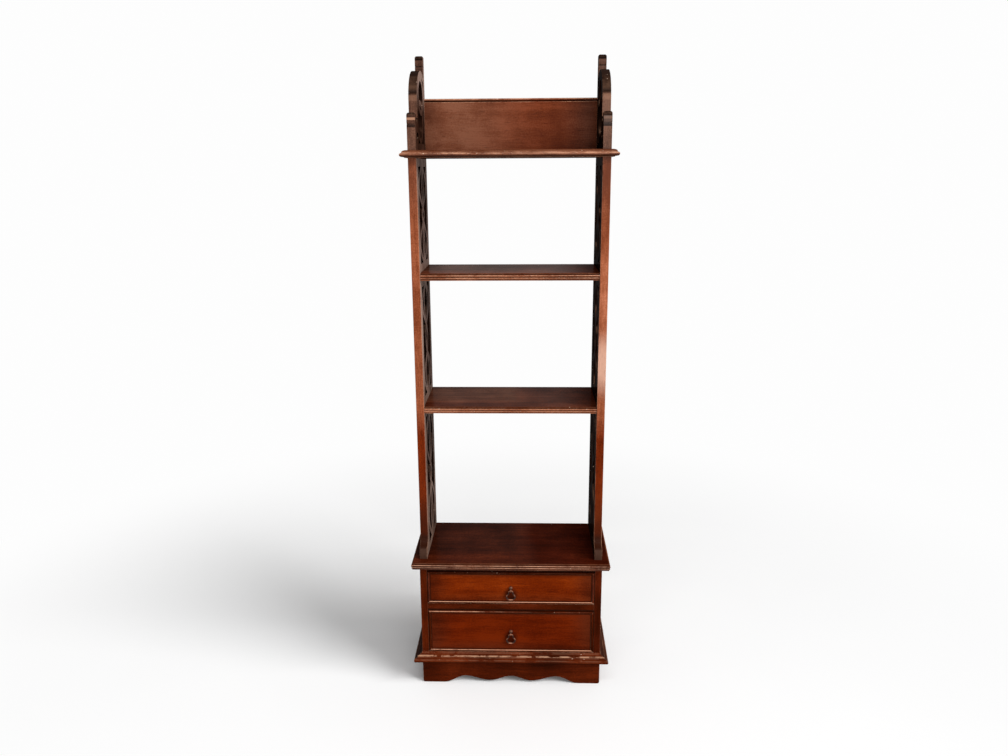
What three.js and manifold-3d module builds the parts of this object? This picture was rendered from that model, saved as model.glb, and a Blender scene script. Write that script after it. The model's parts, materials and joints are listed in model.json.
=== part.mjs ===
// A tall, narrow mahogany etagere: two pierced side boards carry three shelves and a gallery,
// and stand on a low case with two drawers, a moulded plinth and a scalloped apron.
// Lengths are in millimetres. X runs from left to right, Y from front to back and Z up.
// The origin is on the floor, in the middle of the plan.
import * as THREE from "three";
import { mergeVertices } from "three/addons/utils/BufferGeometryUtils.js";
import Module from "manifold-3d";

const wasm = await Module();
wasm.setup();

// Overall sizes
const sideSpread = 390; // outer width over the pierced sides, and of the case below them
const fretDepth = 163;
const caseDepth = 192;
const lowerBayHeight = 318.2;
const middleBayHeight = 261.4;
const upperBayHeight = 222;

// Boards
const fretThickness = 16.5;
const lowerShelfThickness = 14.3;
const upperShelfThickness = 14.8;
const topShelfThickness = 14.5;
const topShelfOverhang = 14.7;
const baseTopThickness = 15;
const baseTopOverhang = 16.2;
const caseBoardThickness = 15;
const caseBackThickness = 9;
const caseBottomThickness = 12;

// Drawer case, from the floor up
const apronHeight = 57;
const bottomRailHeight = 21;
const lowerOpeningHeight = 100.5;
const middleRailHeight = 16.5;
const upperOpeningHeight = 76.5;
const topRailHeight = 10;
const railDepth = 45;
const runnerWidth = 16;

// Clearances
const jointGap = 0.3; // round a tongue in its housing, and between mitred ends
const overrun = 5; // how far a cutting shape passes the piece that it cuts

// Plinth
const plinthProjection = 17.4;
const plinthMouldingDrop = 0.5; // below the top of the bottom rail, so that the drawer clears it
const apronThickness = 16;
const apronBackThickness = 14;
const cornerBlockLeg = 30;
const cornerBlockLift = 4;

// Levels and planes that several pieces share
const lowerOpeningZ = apronHeight + bottomRailHeight;
const middleRailZ = lowerOpeningZ + lowerOpeningHeight;
const upperOpeningZ = middleRailZ + middleRailHeight;
const topRailZ = upperOpeningZ + upperOpeningHeight;
const caseTopZ = topRailZ + topRailHeight;
const baseTopZ = caseTopZ + baseTopThickness;
const lowerShelfZ = baseTopZ + lowerBayHeight;
const lowerShelfTopZ = lowerShelfZ + lowerShelfThickness;
const upperShelfZ = lowerShelfTopZ + middleBayHeight;
const upperShelfTopZ = upperShelfZ + upperShelfThickness;
const topShelfZ = upperShelfTopZ + upperBayHeight;
const galleryZ = topShelfZ + topShelfThickness;

const backY = (caseDepth + plinthProjection) / 2;
const caseFrontY = backY - caseDepth;
const fretFrontY = backY - fretDepth;
const sideX = sideSpread / 2;
const fretInnerX = sideX - fretThickness;
const caseInnerX = sideX - caseBoardThickness;

const furniture = new THREE.Group();

// Solids. Each shape is drawn in a plane and pushed along the axis across that plane.

const usualCurveSegments = 8;

function solidFrom(geometry) {
  const bare = geometry.clone();
  bare.deleteAttribute("normal");
  bare.deleteAttribute("uv");
  const merged = mergeVertices(bare);
  return new wasm.Manifold(
    new wasm.Mesh({
      numProp: 3,
      vertProperties: merged.attributes.position.array,
      triVerts: new Uint32Array(merged.index.array),
    }),
  );
}

function geometryFrom(solid) {
  const mesh = solid.getMesh();
  const geometry = new THREE.BufferGeometry();
  geometry.setAttribute("position", new THREE.BufferAttribute(mesh.vertProperties, mesh.numProp));
  geometry.setIndex(new THREE.BufferAttribute(mesh.triVerts, 1));
  const faceted = geometry.toNonIndexed();
  faceted.computeVertexNormals();
  return faceted;
}

function prism(shape, length, curveSegments) {
  return new THREE.ExtrudeGeometry(shape, { depth: length, bevelEnabled: false, curveSegments });
}

// A shape drawn with (y, z), filling X from one plane to another.
function alongX(shape, fromX, toX, curveSegments = usualCurveSegments) {
  const turn = new THREE.Matrix4().makeBasis(
    new THREE.Vector3(0, 1, 0),
    new THREE.Vector3(0, 0, 1),
    new THREE.Vector3(1, 0, 0),
  );
  return solidFrom(prism(shape, toX - fromX, curveSegments).applyMatrix4(turn).translate(fromX, 0, 0));
}

// A shape drawn with (x, z), filling Y from one plane to another.
function alongY(shape, fromY, toY) {
  const turn = new THREE.Matrix4().makeBasis(
    new THREE.Vector3(1, 0, 0),
    new THREE.Vector3(0, 0, 1),
    new THREE.Vector3(0, -1, 0),
  );
  return solidFrom(prism(shape, toY - fromY, usualCurveSegments).applyMatrix4(turn).translate(0, toY, 0));
}

// A shape drawn with (x, y), filling Z from one level to another.
function alongZ(shape, fromZ, toZ) {
  return solidFrom(prism(shape, toZ - fromZ, usualCurveSegments).translate(0, 0, fromZ));
}

function block(fromX, toX, fromY, toY, fromZ, toZ) {
  const box = new THREE.BoxGeometry(toX - fromX, toY - fromY, toZ - fromZ);
  box.translate((fromX + toX) / 2, (fromY + toY) / 2, (fromZ + toZ) / 2);
  return solidFrom(box);
}

// A turned solid whose axis runs along Y. The profile gives [radius, distance in front of originY].
function turnedAlongY(profile, x, originY, z, segments) {
  const points = profile.map(([radius, forward]) => new THREE.Vector2(radius, forward));
  const lathe = new THREE.LatheGeometry(points, segments);
  return solidFrom(lathe.rotateX(Math.PI).translate(x, originY, z));
}

function rodAlongX(radius, fromX, toX, y, z, segments) {
  const rod = new THREE.CylinderGeometry(radius, radius, toX - fromX, segments);
  rod.rotateZ(Math.PI / 2).translate((fromX + toX) / 2, y, z);
  return solidFrom(rod);
}

function polygon(points) {
  return new THREE.Shape(points.map(([a, b]) => new THREE.Vector2(a, b)));
}

function arcPoints(centreA, centreB, radiusA, radiusB, fromDegrees, toDegrees, steps) {
  return Array.from({ length: steps + 1 }, (_, i) => {
    const angle = THREE.MathUtils.degToRad(fromDegrees + ((toDegrees - fromDegrees) * i) / steps);
    return [centreA + radiusA * Math.cos(angle), centreB + radiusB * Math.sin(angle)];
  });
}

function mirrored(solid) {
  return solid.mirror([1, 0, 0]);
}

// Finishes
const finishes = {
  mahogany: { color: 0x7a3517, roughness: 0.38, metalness: 0 },
  darkMahogany: { color: 0x4a1c0c, roughness: 0.4, metalness: 0 },
  frontMahogany: { color: 0x7d2c0c, roughness: 0.32, metalness: 0 },
  insideWood: { color: 0xa37a4c, roughness: 0.75, metalness: 0 },
  agedBrass: { color: 0x6b4a2c, roughness: 0.42, metalness: 0.85 },
};

function add(name, solid, finish) {
  const mesh = new THREE.Mesh(geometryFrom(solid), new THREE.MeshStandardMaterial(finishes[finish]));
  mesh.name = name;
  furniture.add(mesh);
}

function addPair(name, rightSolid, finish) {
  add(`${name}_left`, mirrored(rightSolid), finish);
  add(`${name}_right`, rightSolid, finish);
}

// Moulded edges. Each profile lists [distance in from the outermost line, distance down from the top],
// from the top face to the bottom face, and follows the thickness of its board.

const beadSteps = 6;
const easingSteps = 3;
const noseSteps = 8;

// An eased fillet, a groove, a large bead, a fine groove, a smaller bead and a fillet below.
function doubleBead(thickness) {
  const filletShare = 0.15;
  const easingShare = 0.1;
  const grooveShare = 0.08;
  const upperBeadShare = 0.32;
  const fineGrooveShare = 0.04;
  const lowerBeadShare = 0.23;
  const upper = (upperBeadShare * thickness) / 2;
  const lower = (lowerBeadShare * thickness) / 2;
  const easing = easingShare * thickness;
  const groove = grooveShare * thickness;
  const grooveTop = filletShare * thickness;
  const upperTop = grooveTop + groove;
  const upperEnd = upperTop + 2 * upper;
  const lowerTop = upperEnd + fineGrooveShare * thickness;
  return [
    ...arcPoints(upper + easing, easing, -easing, -easing, 90, 0, easingSteps),
    [upper, grooveTop],
    [upper + groove, grooveTop],
    [upper + groove, upperTop],
    ...arcPoints(upper, upperTop + upper, -upper, -upper, 90, -90, beadSteps),
    [upper, lowerTop],
    ...arcPoints(upper, lowerTop + lower, -lower, -lower, 90, -90, beadSteps).slice(1),
    [upper, thickness],
  ];
}

function thumbEdge(thickness) {
  const arrisInShare = 0.28;
  const arrisDownShare = 0.27;
  const noseDownShare = 0.62;
  const noseHeightShare = 0.26;
  const underInShare = 0.6;
  const filletDownShare = 0.93;
  const slopeInShare = 0.9;
  const arris = [arrisInShare * thickness, arrisDownShare * thickness];
  const nose = noseHeightShare * thickness;
  const noseDown = noseDownShare * thickness;
  const slopeIn = slopeInShare * thickness;
  return [
    ...arcPoints(slopeIn, arris[1], arris[0] - slopeIn, -arris[1], 90, 0, beadSteps),
    ...arcPoints(arris[0], noseDown, -arris[0], -nose, 90, -90, noseSteps),
    [underInShare * thickness, filletDownShare * thickness],
    [underInShare * thickness, thickness],
  ];
}

// A board with the same moulded edge on its front and both ends, met by mitres at the corners.
function mouldedBoard(edge, halfWidth, frontY, bottomZ, thickness) {
  const topZ = bottomZ + thickness;
  const front = edge.map(([inward, down]) => [frontY + inward, topZ - down]);
  const right = edge.map(([inward, down]) => [halfWidth - inward, topZ - down]);
  const left = right.map(([x, z]) => [-x, z]).reverse();
  const frontSection = polygon([...front, [backY, bottomZ], [backY, topZ]]);
  const endSection = polygon([...right, ...left]);
  const lengthwise = alongX(frontSection, -halfWidth, halfWidth);
  return lengthwise.intersect(alongY(endSection, frontY - overrun, backY + overrun));
}

// Base top and top shelf

function baseTop() {
  const edge = doubleBead(baseTopThickness);
  const frontY = caseFrontY - baseTopOverhang;
  return mouldedBoard(edge, sideX + baseTopOverhang, frontY, caseTopZ, baseTopThickness);
}

function topShelf() {
  const edge = thumbEdge(topShelfThickness);
  const frontY = fretFrontY - topShelfOverhang;
  return mouldedBoard(edge, sideX + topShelfOverhang, frontY, topShelfZ, topShelfThickness);
}

// Shelves between the sides. A tongue at each end sits in a housing that stops behind the front edge.

const housingDepth = 4;
const housingSetback = 14;
const shelfFrontSetback = 1; // the shelf's front behind the front edge of the sides

function housingTongue(bottomZ, thickness, clearance) {
  const deepX = fretInnerX + housingDepth + clearance;
  const fromY = fretFrontY + housingSetback - clearance;
  return block(-deepX, deepX, fromY, backY + clearance, bottomZ, bottomZ + thickness + clearance);
}

function shelf(bottomZ, thickness) {
  const topZ = bottomZ + thickness;
  const frontY = fretFrontY + shelfFrontSetback;
  const front = doubleBead(thickness).map(([inward, down]) => [frontY + inward, topZ - down]);
  const section = polygon([...front, [backY, bottomZ], [backY, topZ]]);
  return alongX(section, -fretInnerX, fretInnerX).add(housingTongue(bottomZ, thickness, 0));
}

// Pierced work. A strand is a flat band of even width that waves down the opening in loops, and its
// mirror image crosses it. A spindle stands in each tall loop. A loop is given by its top, its foot and
// its reach to one side, as shares of half the opening's height and half its width.

const fretStile = 25;
const fretRail = 16;
const strandWidth = 11;
const loopSteps = 10;

const endBayShares = {
  strand: [
    [1.05, 0.15, 0.93],
    [0.15, -0.15, -0.28],
    [-0.15, -1.05, 0.93],
  ],
  spindles: [
    [1.05, 0.15, 0.21],
    [-0.15, -1.05, 0.21],
  ],
};

const middleBayShares = {
  strand: [
    [1.05, 0.27, 0.93],
    [0.27, -0.27, -0.27],
    [-0.27, -1.05, 0.93],
  ],
  spindles: [
    [1.05, 0.27, 0.46],
    [-0.27, -1.05, 0.46],
  ],
};

function loopLine(loops) {
  const waves = loops.flatMap(([top, foot, reach]) =>
    Array.from({ length: loopSteps }, (_, i) => {
      const part = i / loopSteps;
      return [reach * Math.sin(Math.PI * part), top + (foot - top) * part];
    }),
  );
  return [...waves, [0, loops[loops.length - 1][1]]];
}

function band(points) {
  const line = new THREE.SplineCurve(points.map(([y, z]) => new THREE.Vector2(y, z)));
  const steps = points.length - 1;
  const edges = [strandWidth / 2, -strandWidth / 2].map((offset) =>
    Array.from({ length: steps + 1 }, (_, i) => {
      const at = line.getPoint(i / steps);
      const along = line.getTangent(i / steps);
      return [at.x - along.y * offset, at.y + along.x * offset];
    }),
  );
  return polygon([...edges[0], ...edges[1].reverse()]);
}

function bayFret({ strand, spindles }, bottomZ, topZ) {
  const centreY = fretFrontY + fretDepth / 2;
  const centreZ = (bottomZ + topZ) / 2;
  const halfAcross = fretDepth / 2 - fretStile;
  const halfUp = (topZ - bottomZ) / 2;
  const lines = [loopLine(strand), ...spindles.map((loop) => loopLine([loop]))];
  const bands = lines.flatMap((line) =>
    [halfAcross, -halfAcross].map((reach) => {
      const points = line.map(([across, up]) => [centreY + across * reach, centreZ + up * halfUp]);
      return alongX(band(points), fretInnerX, sideX);
    }),
  );
  return bands.reduce((all, one) => all.add(one));
}

// Side boards

const footHeight = 24.5;
const footReach = 22.5; // in front of the board's front edge
const footCoveHeight = 15.5;
const coveSteps = 8;

function sideOutline() {
  const footFrontY = fretFrontY - footReach;
  const coveZ = baseTopZ + footHeight + footCoveHeight;
  return polygon([
    [backY, baseTopZ],
    [backY, topShelfZ],
    [fretFrontY, topShelfZ],
    ...arcPoints(footFrontY, coveZ, footReach, footCoveHeight, 0, -90, coveSteps),
    [footFrontY, baseTopZ],
  ]);
}

function fretSide() {
  const bays = [
    [baseTopZ, lowerShelfZ, endBayShares],
    [lowerShelfTopZ, upperShelfZ, middleBayShares],
    [upperShelfTopZ, topShelfZ, endBayShares],
  ];
  let board = alongX(sideOutline(), fretInnerX, sideX);
  for (const [floorZ, ceilingZ, pattern] of bays) {
    const bottomZ = floorZ + fretRail;
    const topZ = ceilingZ - fretRail;
    const frontY = fretFrontY + fretStile;
    const rearY = backY - fretStile;
    const opening = block(fretInnerX - overrun, sideX + overrun, frontY, rearY, bottomZ, topZ);
    const limit = block(fretInnerX, sideX, fretFrontY, backY, floorZ, ceilingZ);
    board = board.subtract(opening).add(bayFret(pattern, bottomZ, topZ).intersect(limit));
  }
  const lowerHousing = housingTongue(lowerShelfZ, lowerShelfThickness, jointGap);
  const upperHousing = housingTongue(upperShelfZ, upperShelfThickness, jointGap);
  return board.subtract(lowerHousing).subtract(upperHousing);
}

// Gables on the top shelf: a low ear in front, an arch, and a high ear at the back

const frontEarHeight = 69;
const frontEarDepth = 16;
const archFrontSetback = 36;
const archSpringHeight = 94;
const archRise = 60;
const archCrestShare = 0.72; // of the arch's span, from its front to its crest
const rearHollowWidth = 12;
const rearEarHeight = 188;
const rearEarDepth = 15;
const earCapHeight = 22.5;
const earCapRound = 8;
const earQuirk = 2.4;
const earNeckBead = 4; // between the groove under the cap and the finer one under the neck
const earFineQuirk = 1;
const earCrownRound = 4; // of the long corners of an ear's top
const gableRim = 13;
const gableRail = 14;
const gableSteps = 7;
const crownSteps = 4;

// The front line of an ear, from its neck to its top: a fine groove, a band, a wider groove, a face
// and a rounded shoulder.
function earFront(frontY, topZ) {
  const neckZ = topZ - earCapHeight;
  const capZ = neckZ + earQuirk;
  const bandZ = neckZ - earNeckBead;
  const shoulderZ = topZ - earCapRound;
  return [
    [frontY, bandZ - earFineQuirk],
    [frontY + earFineQuirk, bandZ - earFineQuirk],
    [frontY + earFineQuirk, bandZ],
    [frontY, bandZ],
    [frontY, neckZ],
    [frontY + earQuirk, neckZ],
    [frontY + earQuirk, capZ],
    [frontY, capZ],
    ...arcPoints(frontY + earCapRound, shoulderZ, earCapRound, earCapRound, 180, 90, gableSteps),
  ];
}

// What the rounding of an ear's two long corners takes off.
function crownWaste(fromY, toY, topZ) {
  const springingZ = topZ - earCrownRound;
  const over = block(fretInnerX - overrun, sideX + overrun, fromY, toY, springingZ, topZ + overrun);
  const crown = polygon([
    [sideX, springingZ - overrun],
    ...arcPoints(sideX - earCrownRound, springingZ, earCrownRound, earCrownRound, 0, 90, crownSteps),
    ...arcPoints(fretInnerX + earCrownRound, springingZ, earCrownRound, earCrownRound, 90, 180, crownSteps),
    [fretInnerX, springingZ - overrun],
  ]);
  return over.subtract(alongY(crown, fromY - overrun, toY + overrun));
}

const archFrontY = fretFrontY + archFrontSetback;
const rearEarY = backY - rearEarDepth;
const archReach = archCrestShare * (rearEarY - rearHollowWidth - archFrontY);
const crestY = archFrontY + archReach;
const springZ = galleryZ + archSpringHeight;

function gableOutline() {
  const frontEarBackY = fretFrontY + frontEarDepth;
  const hollow = (archFrontY - frontEarBackY) / 2;
  const rearHollow = rearHollowWidth / 2;
  const archEndShare = (rearEarY - rearHollowWidth - crestY) / archReach;
  const archEndDegrees = THREE.MathUtils.radToDeg(Math.acos(archEndShare));
  const archEndZ = springZ + archRise * Math.sqrt(1 - archEndShare ** 2);
  const frontEarTopZ = galleryZ + frontEarHeight;
  const hollowZ = frontEarTopZ - earCapRound;
  return polygon([
    [fretFrontY, galleryZ],
    ...earFront(fretFrontY, frontEarTopZ),
    [frontEarBackY, frontEarTopZ],
    ...arcPoints(frontEarBackY + hollow, hollowZ, hollow, hollow, 180, 360, gableSteps),
    ...arcPoints(crestY, springZ, archReach, archRise, 180, archEndDegrees, 2 * gableSteps),
    ...arcPoints(rearEarY - rearHollow, archEndZ, rearHollow, rearHollow, 180, 360, gableSteps).slice(1),
    ...earFront(rearEarY, galleryZ + rearEarHeight),
    [backY, galleryZ + rearEarHeight],
    [backY, galleryZ],
  ]);
}

// The opening inside the gable's rim, under the arch and the front ear.
function gableOpening() {
  const reach = archReach - gableRim;
  const rise = archRise - gableRim;
  const rearY = backY - fretStile;
  const endShare = (rearY - crestY) / reach;
  const endDegrees = THREE.MathUtils.radToDeg(Math.acos(endShare));
  const lowTopZ = galleryZ + frontEarHeight - earCapHeight - gableRim;
  return polygon([
    [fretFrontY + gableRim, galleryZ + gableRail],
    [fretFrontY + gableRim, lowTopZ],
    [archFrontY + gableRim, lowTopZ],
    ...arcPoints(crestY, springZ, reach, rise, 180, endDegrees, 2 * gableSteps),
    [rearY, galleryZ + gableRail],
  ]);
}

// Interlaced rings in the gable. Places and sizes are shares of the board's depth and of the crest's
// height: centre back from the front, centre up, half across and half up.
const gableRingShares = [
  [0.58, 0.69, 0.26, 0.25],
  [0.5, 0.36, 0.27, 0.27],
  [0.19, 0.18, 0.14, 0.12],
];

const ringSegments = 14;

function gableRings() {
  const crestHeight = archSpringHeight + archRise;
  const rings = gableRingShares.map(([backShare, upShare, acrossShare, riseShare]) => {
    const centreY = fretFrontY + backShare * fretDepth;
    const centreZ = galleryZ + upShare * crestHeight;
    const across = acrossShare * fretDepth;
    const rise = riseShare * crestHeight;
    const ring = new THREE.Shape();
    ring.absellipse(centreY, centreZ, across, rise, 0, 2 * Math.PI, false, 0);
    const hole = new THREE.Path();
    hole.absellipse(centreY, centreZ, across - strandWidth, rise - strandWidth, 0, 2 * Math.PI, true, 0);
    ring.holes.push(hole);
    return alongX(ring, fretInnerX, sideX, ringSegments);
  });
  return rings.reduce((all, one) => all.add(one));
}

function gable() {
  const blank = alongX(gableOutline(), fretInnerX, sideX);
  const opening = alongX(gableOpening(), fretInnerX - overrun, sideX + overrun);
  const frontCrown = crownWaste(fretFrontY - overrun, fretFrontY + frontEarDepth, galleryZ + frontEarHeight);
  const rearCrown = crownWaste(rearEarY - overrun, backY + overrun, galleryZ + rearEarHeight);
  return blank.subtract(opening).add(gableRings().intersect(blank)).subtract(frontCrown).subtract(rearCrown);
}

// Gallery back with a bead along its top edge

const galleryHeight = 105;
const galleryThickness = 12;
const galleryBead = 3;
const galleryQuirk = 1.2;

function galleryBack() {
  const topZ = galleryZ + galleryHeight;
  const frontY = backY - galleryThickness;
  const beadZ = topZ - galleryBead;
  const quirkZ = beadZ - galleryBead - galleryQuirk;
  return alongX(
    polygon([
      [backY, galleryZ],
      [backY, topZ],
      [frontY + galleryBead, topZ],
      ...arcPoints(frontY + galleryBead, beadZ, galleryBead, galleryBead, 90, 270, beadSteps).slice(1),
      [frontY + galleryBead, quirkZ],
      [frontY, quirkZ],
      [frontY, galleryZ],
    ]),
    -fretInnerX,
    fretInnerX,
  );
}

// Case

function caseSide() {
  return block(caseInnerX, sideX, caseFrontY, backY, apronHeight, caseTopZ);
}

function rail(bottomZ, topZ) {
  return block(-caseInnerX, caseInnerX, caseFrontY, caseFrontY + railDepth, bottomZ, topZ);
}

function sideStrip(bottomZ, topZ) {
  const fromY = caseFrontY + railDepth;
  const toY = backY - caseBackThickness;
  return block(caseInnerX - runnerWidth, caseInnerX, fromY, toY, bottomZ, topZ);
}

function caseBack() {
  return block(-caseInnerX, caseInnerX, backY - caseBackThickness, backY, apronHeight, caseTopZ);
}

function caseBottom() {
  const fromY = caseFrontY + railDepth;
  const toY = backY - caseBackThickness;
  const fromZ = lowerOpeningZ - caseBottomThickness;
  return block(-caseInnerX, caseInnerX, fromY, toY, fromZ, lowerOpeningZ);
}

// Plinth moulding: a slope off the case, a sharp step and a round torus under it

const mouldingHeight = bottomRailHeight - plinthMouldingDrop;
const torusRadius = 5;
const torusLift = 0.5;
const stepProjection = 10;
const stepHeight = 3.5;

function mouldingProfile() {
  const torusOut = plinthProjection - torusRadius;
  const torusZ = torusLift + torusRadius;
  const quirkZ = torusZ + torusRadius;
  const slopeHeight = mouldingHeight - quirkZ - stepHeight;
  return [
    [0, 0],
    [torusOut, 0],
    ...arcPoints(torusOut, torusZ, torusRadius, torusRadius, -90, 90, beadSteps),
    [stepProjection, quirkZ],
    ...arcPoints(stepProjection, mouldingHeight, stepProjection, slopeHeight, 270, 180, beadSteps),
  ];
}

function plinthMouldingFront() {
  const section = mouldingProfile().map(([out, up]) => [caseFrontY - out, apronHeight + up]);
  const endX = sideX + plinthProjection;
  const tipY = caseFrontY - plinthProjection;
  const plan = polygon([
    [-sideX, caseFrontY],
    [-endX, tipY],
    [endX, tipY],
    [sideX, caseFrontY],
  ]);
  const mitred = alongZ(plan, apronHeight - overrun, lowerOpeningZ);
  return alongX(polygon(section), -endX, endX).intersect(mitred);
}

function plinthMouldingSide() {
  const section = mouldingProfile().map(([out, up]) => [sideX + out, apronHeight + up]);
  const tipY = caseFrontY - plinthProjection;
  const endX = sideX + plinthProjection;
  const mitreGap = jointGap * Math.SQRT2;
  const plan = polygon([
    [sideX, caseFrontY + mitreGap],
    [endX, tipY + mitreGap],
    [endX, backY],
    [sideX, backY],
  ]);
  const mitred = alongZ(plan, apronHeight - overrun, lowerOpeningZ);
  return alongY(polygon(section), tipY, backY).intersect(mitred);
}

// Aprons. The lower edge is a run of waves. Each point gives its place along the half width as a share
// and its height above the floor, and the line is level there.

const peakHeight = 16.5;
const lobeHeight = 5.5;
const frontWaveShares = [
  [0, peakHeight],
  [0.235, lobeHeight],
  [0.515, peakHeight],
  [0.76, 0],
];
const sideWaveShares = [
  [0, lobeHeight],
  [0.24, peakHeight],
  [0.55, 0],
];
const backWaveShares = [
  [0, peakHeight],
  [0.5, peakHeight],
  [0.7, 0],
];
const waveSteps = 7;

function waveLine(waves, centre, half) {
  const rightSide = waves.slice(1).flatMap(([share, height], i) => {
    const [fromShare, fromHeight] = waves[i];
    return Array.from({ length: waveSteps }, (_, k) => {
      const part = (k + 1) / waveSteps;
      const ease = (1 - Math.cos(Math.PI * part)) / 2;
      return [(fromShare + (share - fromShare) * part) * half, fromHeight + (height - fromHeight) * ease];
    });
  });
  const start = [[waves[0][0] * half, waves[0][1]]];
  const leftSide = [...rightSide].reverse().map(([along, height]) => [-along, height]);
  return [...leftSide, ...start, ...rightSide].map(([along, height]) => [centre + along, height]);
}

function apronShape(waves, from, to) {
  return polygon([
    [to, apronHeight],
    [from, apronHeight],
    [from, 0],
    ...waveLine(waves, (from + to) / 2, (to - from) / 2),
    [to, 0],
  ]);
}

function apronFront() {
  return alongY(apronShape(frontWaveShares, -sideX, sideX), caseFrontY, caseFrontY + apronThickness);
}

function apronSide() {
  const shape = apronShape(sideWaveShares, caseFrontY + apronThickness, backY);
  return alongX(shape, sideX - apronThickness, sideX);
}

function apronBack() {
  const innerX = sideX - apronThickness;
  return alongY(apronShape(backWaveShares, -innerX, innerX), backY - apronBackThickness, backY);
}

function cornerBlock(cornerY, inwardY) {
  const cornerX = sideX - apronThickness;
  const plan = polygon([
    [cornerX, cornerY],
    [cornerX, cornerY + inwardY],
    [cornerX - cornerBlockLeg, cornerY],
  ]);
  return alongZ(plan, cornerBlockLift, apronHeight);
}

// Drawers

const drawerGap = 1; // beside and under the front in its opening
const drawerHeadGap = 2; // over the front
const drawerSideGap = 1.2; // beside the drawer's sides
const drawerRunGap = 0.3; // under the drawer's sides
const drawerTopGap = 2.5; // over the drawer's sides
const drawerFrontThickness = 18;
const drawerBoardThickness = 9;
const drawerRearGap = 6;
const drawerBottomThickness = 5;
const drawerBottomLift = 7;
const drawerGroove = 4;
const drawerBackDrop = 6;
const beadWidth = 4.4;
const beadDepth = 9; // of the rebate that the bead lies in
const beadProud = 1.8;
const stopWidth = 26;
const stopDepth = 14;
const stopHeight = 5;
const stopPlaceShare = 0.45;

// The bead's section across one edge of the front: [place across the front, place along Y].
function beadSection(edge, inward) {
  const half = beadWidth / 2;
  const noseY = caseFrontY - beadProud + half;
  const rebateY = caseFrontY + beadDepth;
  return [
    [edge, rebateY],
    ...arcPoints(edge + inward * half, noseY, inward * half, half, 180, 360, beadSteps),
    [edge + inward * beadWidth, rebateY],
  ];
}

// Four lengths of bead meet at mitres with a fine gap, which the upright lengths give up.
function beadFrame(bottomZ, topZ, halfWidth) {
  const fromY = caseFrontY - beadProud - overrun;
  const toY = caseFrontY + beadDepth + overrun;
  const innerX = halfWidth - beadWidth;
  const outerX = halfWidth + overrun;
  const level = (edgeZ, inward) => {
    const section = beadSection(edgeZ, inward).map(([z, y]) => [y, z]);
    const innerZ = edgeZ + inward * beadWidth;
    const outerZ = edgeZ - inward * overrun;
    const mitres = [
      [-outerX, outerZ],
      [-innerX, innerZ],
      [innerX, innerZ],
      [outerX, outerZ],
    ];
    return alongX(polygon(section), -halfWidth, halfWidth).intersect(alongY(polygon(mitres), fromY, toY));
  };
  const mitreGap = jointGap * Math.SQRT2;
  const uprightMitres = [
    [outerX, topZ + overrun - mitreGap],
    [innerX, topZ - beadWidth - mitreGap],
    [innerX, bottomZ + beadWidth + mitreGap],
    [outerX, bottomZ - overrun + mitreGap],
  ];
  const upright = alongZ(polygon(beadSection(halfWidth, -1)), bottomZ, topZ);
  return {
    top: level(topZ, -1),
    bottom: level(bottomZ, 1),
    right: upright.intersect(alongY(polygon(uprightMitres), fromY, toY)),
  };
}

function shankHoleProfile() {
  const radius = shankRadius + shankGap;
  const backEnd = -drawerFrontThickness - overrun;
  return [
    [0, backEnd],
    [radius, backEnd],
    [radius, overrun],
    [0, overrun],
  ];
}

function drawer(name, openingZ, openingHeight) {
  const bottomZ = openingZ + drawerGap;
  const topZ = openingZ + openingHeight - drawerHeadGap;
  const halfWidth = caseInnerX - drawerGap;
  const frontBackY = caseFrontY + drawerFrontThickness;
  const boxBackY = backY - caseBackThickness - drawerRearGap;
  const sideOuterX = caseInnerX - drawerSideGap;
  const sideInnerX = sideOuterX - drawerBoardThickness;
  const sideBottomZ = openingZ + drawerRunGap;
  const sideTopZ = openingZ + openingHeight - drawerTopGap;
  const panelZ = openingZ + drawerBottomLift;
  const panelTopZ = panelZ + drawerBottomThickness;
  const pullZ = openingZ + openingHeight / 2 - bossDrop;

  const frontCore = block(-halfWidth, halfWidth, caseFrontY + beadDepth, frontBackY, bottomZ, topZ);
  const field = block(
    beadWidth - halfWidth,
    halfWidth - beadWidth,
    caseFrontY,
    frontBackY,
    bottomZ + beadWidth,
    topZ - beadWidth,
  );
  const grooveX = sideInnerX + drawerGroove;
  const panel = block(-grooveX, grooveX, frontBackY - drawerGroove, boxBackY, panelZ, panelTopZ);
  const groove = block(
    -grooveX - jointGap,
    grooveX + jointGap,
    frontBackY - drawerGroove - jointGap,
    boxBackY + overrun,
    panelZ,
    panelTopZ + jointGap,
  );
  const shankHole = turnedAlongY(shankHoleProfile(), 0, caseFrontY, pullZ, roundSegments);
  add(`${name}_front`, frontCore.add(field).subtract(groove).subtract(shankHole), "frontMahogany");

  const side = block(sideInnerX, sideOuterX, frontBackY, boxBackY, sideBottomZ, sideTopZ);
  addPair(`${name}_side`, side.subtract(groove), "insideWood");
  const backFromY = boxBackY - drawerBoardThickness;
  const backTopZ = sideTopZ - drawerBackDrop;
  const back = block(-sideInnerX, sideInnerX, backFromY, boxBackY, panelTopZ, backTopZ);
  add(`${name}_back`, back, "insideWood");
  add(`${name}_bottom`, panel, "insideWood");

  const beads = beadFrame(bottomZ, topZ, halfWidth);
  add(`${name}_bead_top`, beads.top, "mahogany");
  add(`${name}_bead_bottom`, beads.bottom, "mahogany");
  addPair(`${name}_bead`, beads.right, "mahogany");

  const stopX = stopPlaceShare * caseInnerX;
  const stopY = frontBackY + jointGap;
  const stop = block(
    stopX - stopWidth / 2,
    stopX + stopWidth / 2,
    stopY,
    stopY + stopDepth,
    openingZ,
    openingZ + stopHeight,
  );
  addPair(`${name}_stop`, stop, "insideWood");
  pull(name, pullZ);
}

// Pulls: a domed boss with an eye under it, a shank with a nut, and a drop-shaped bail in the eye that
// swells towards its foot

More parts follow.
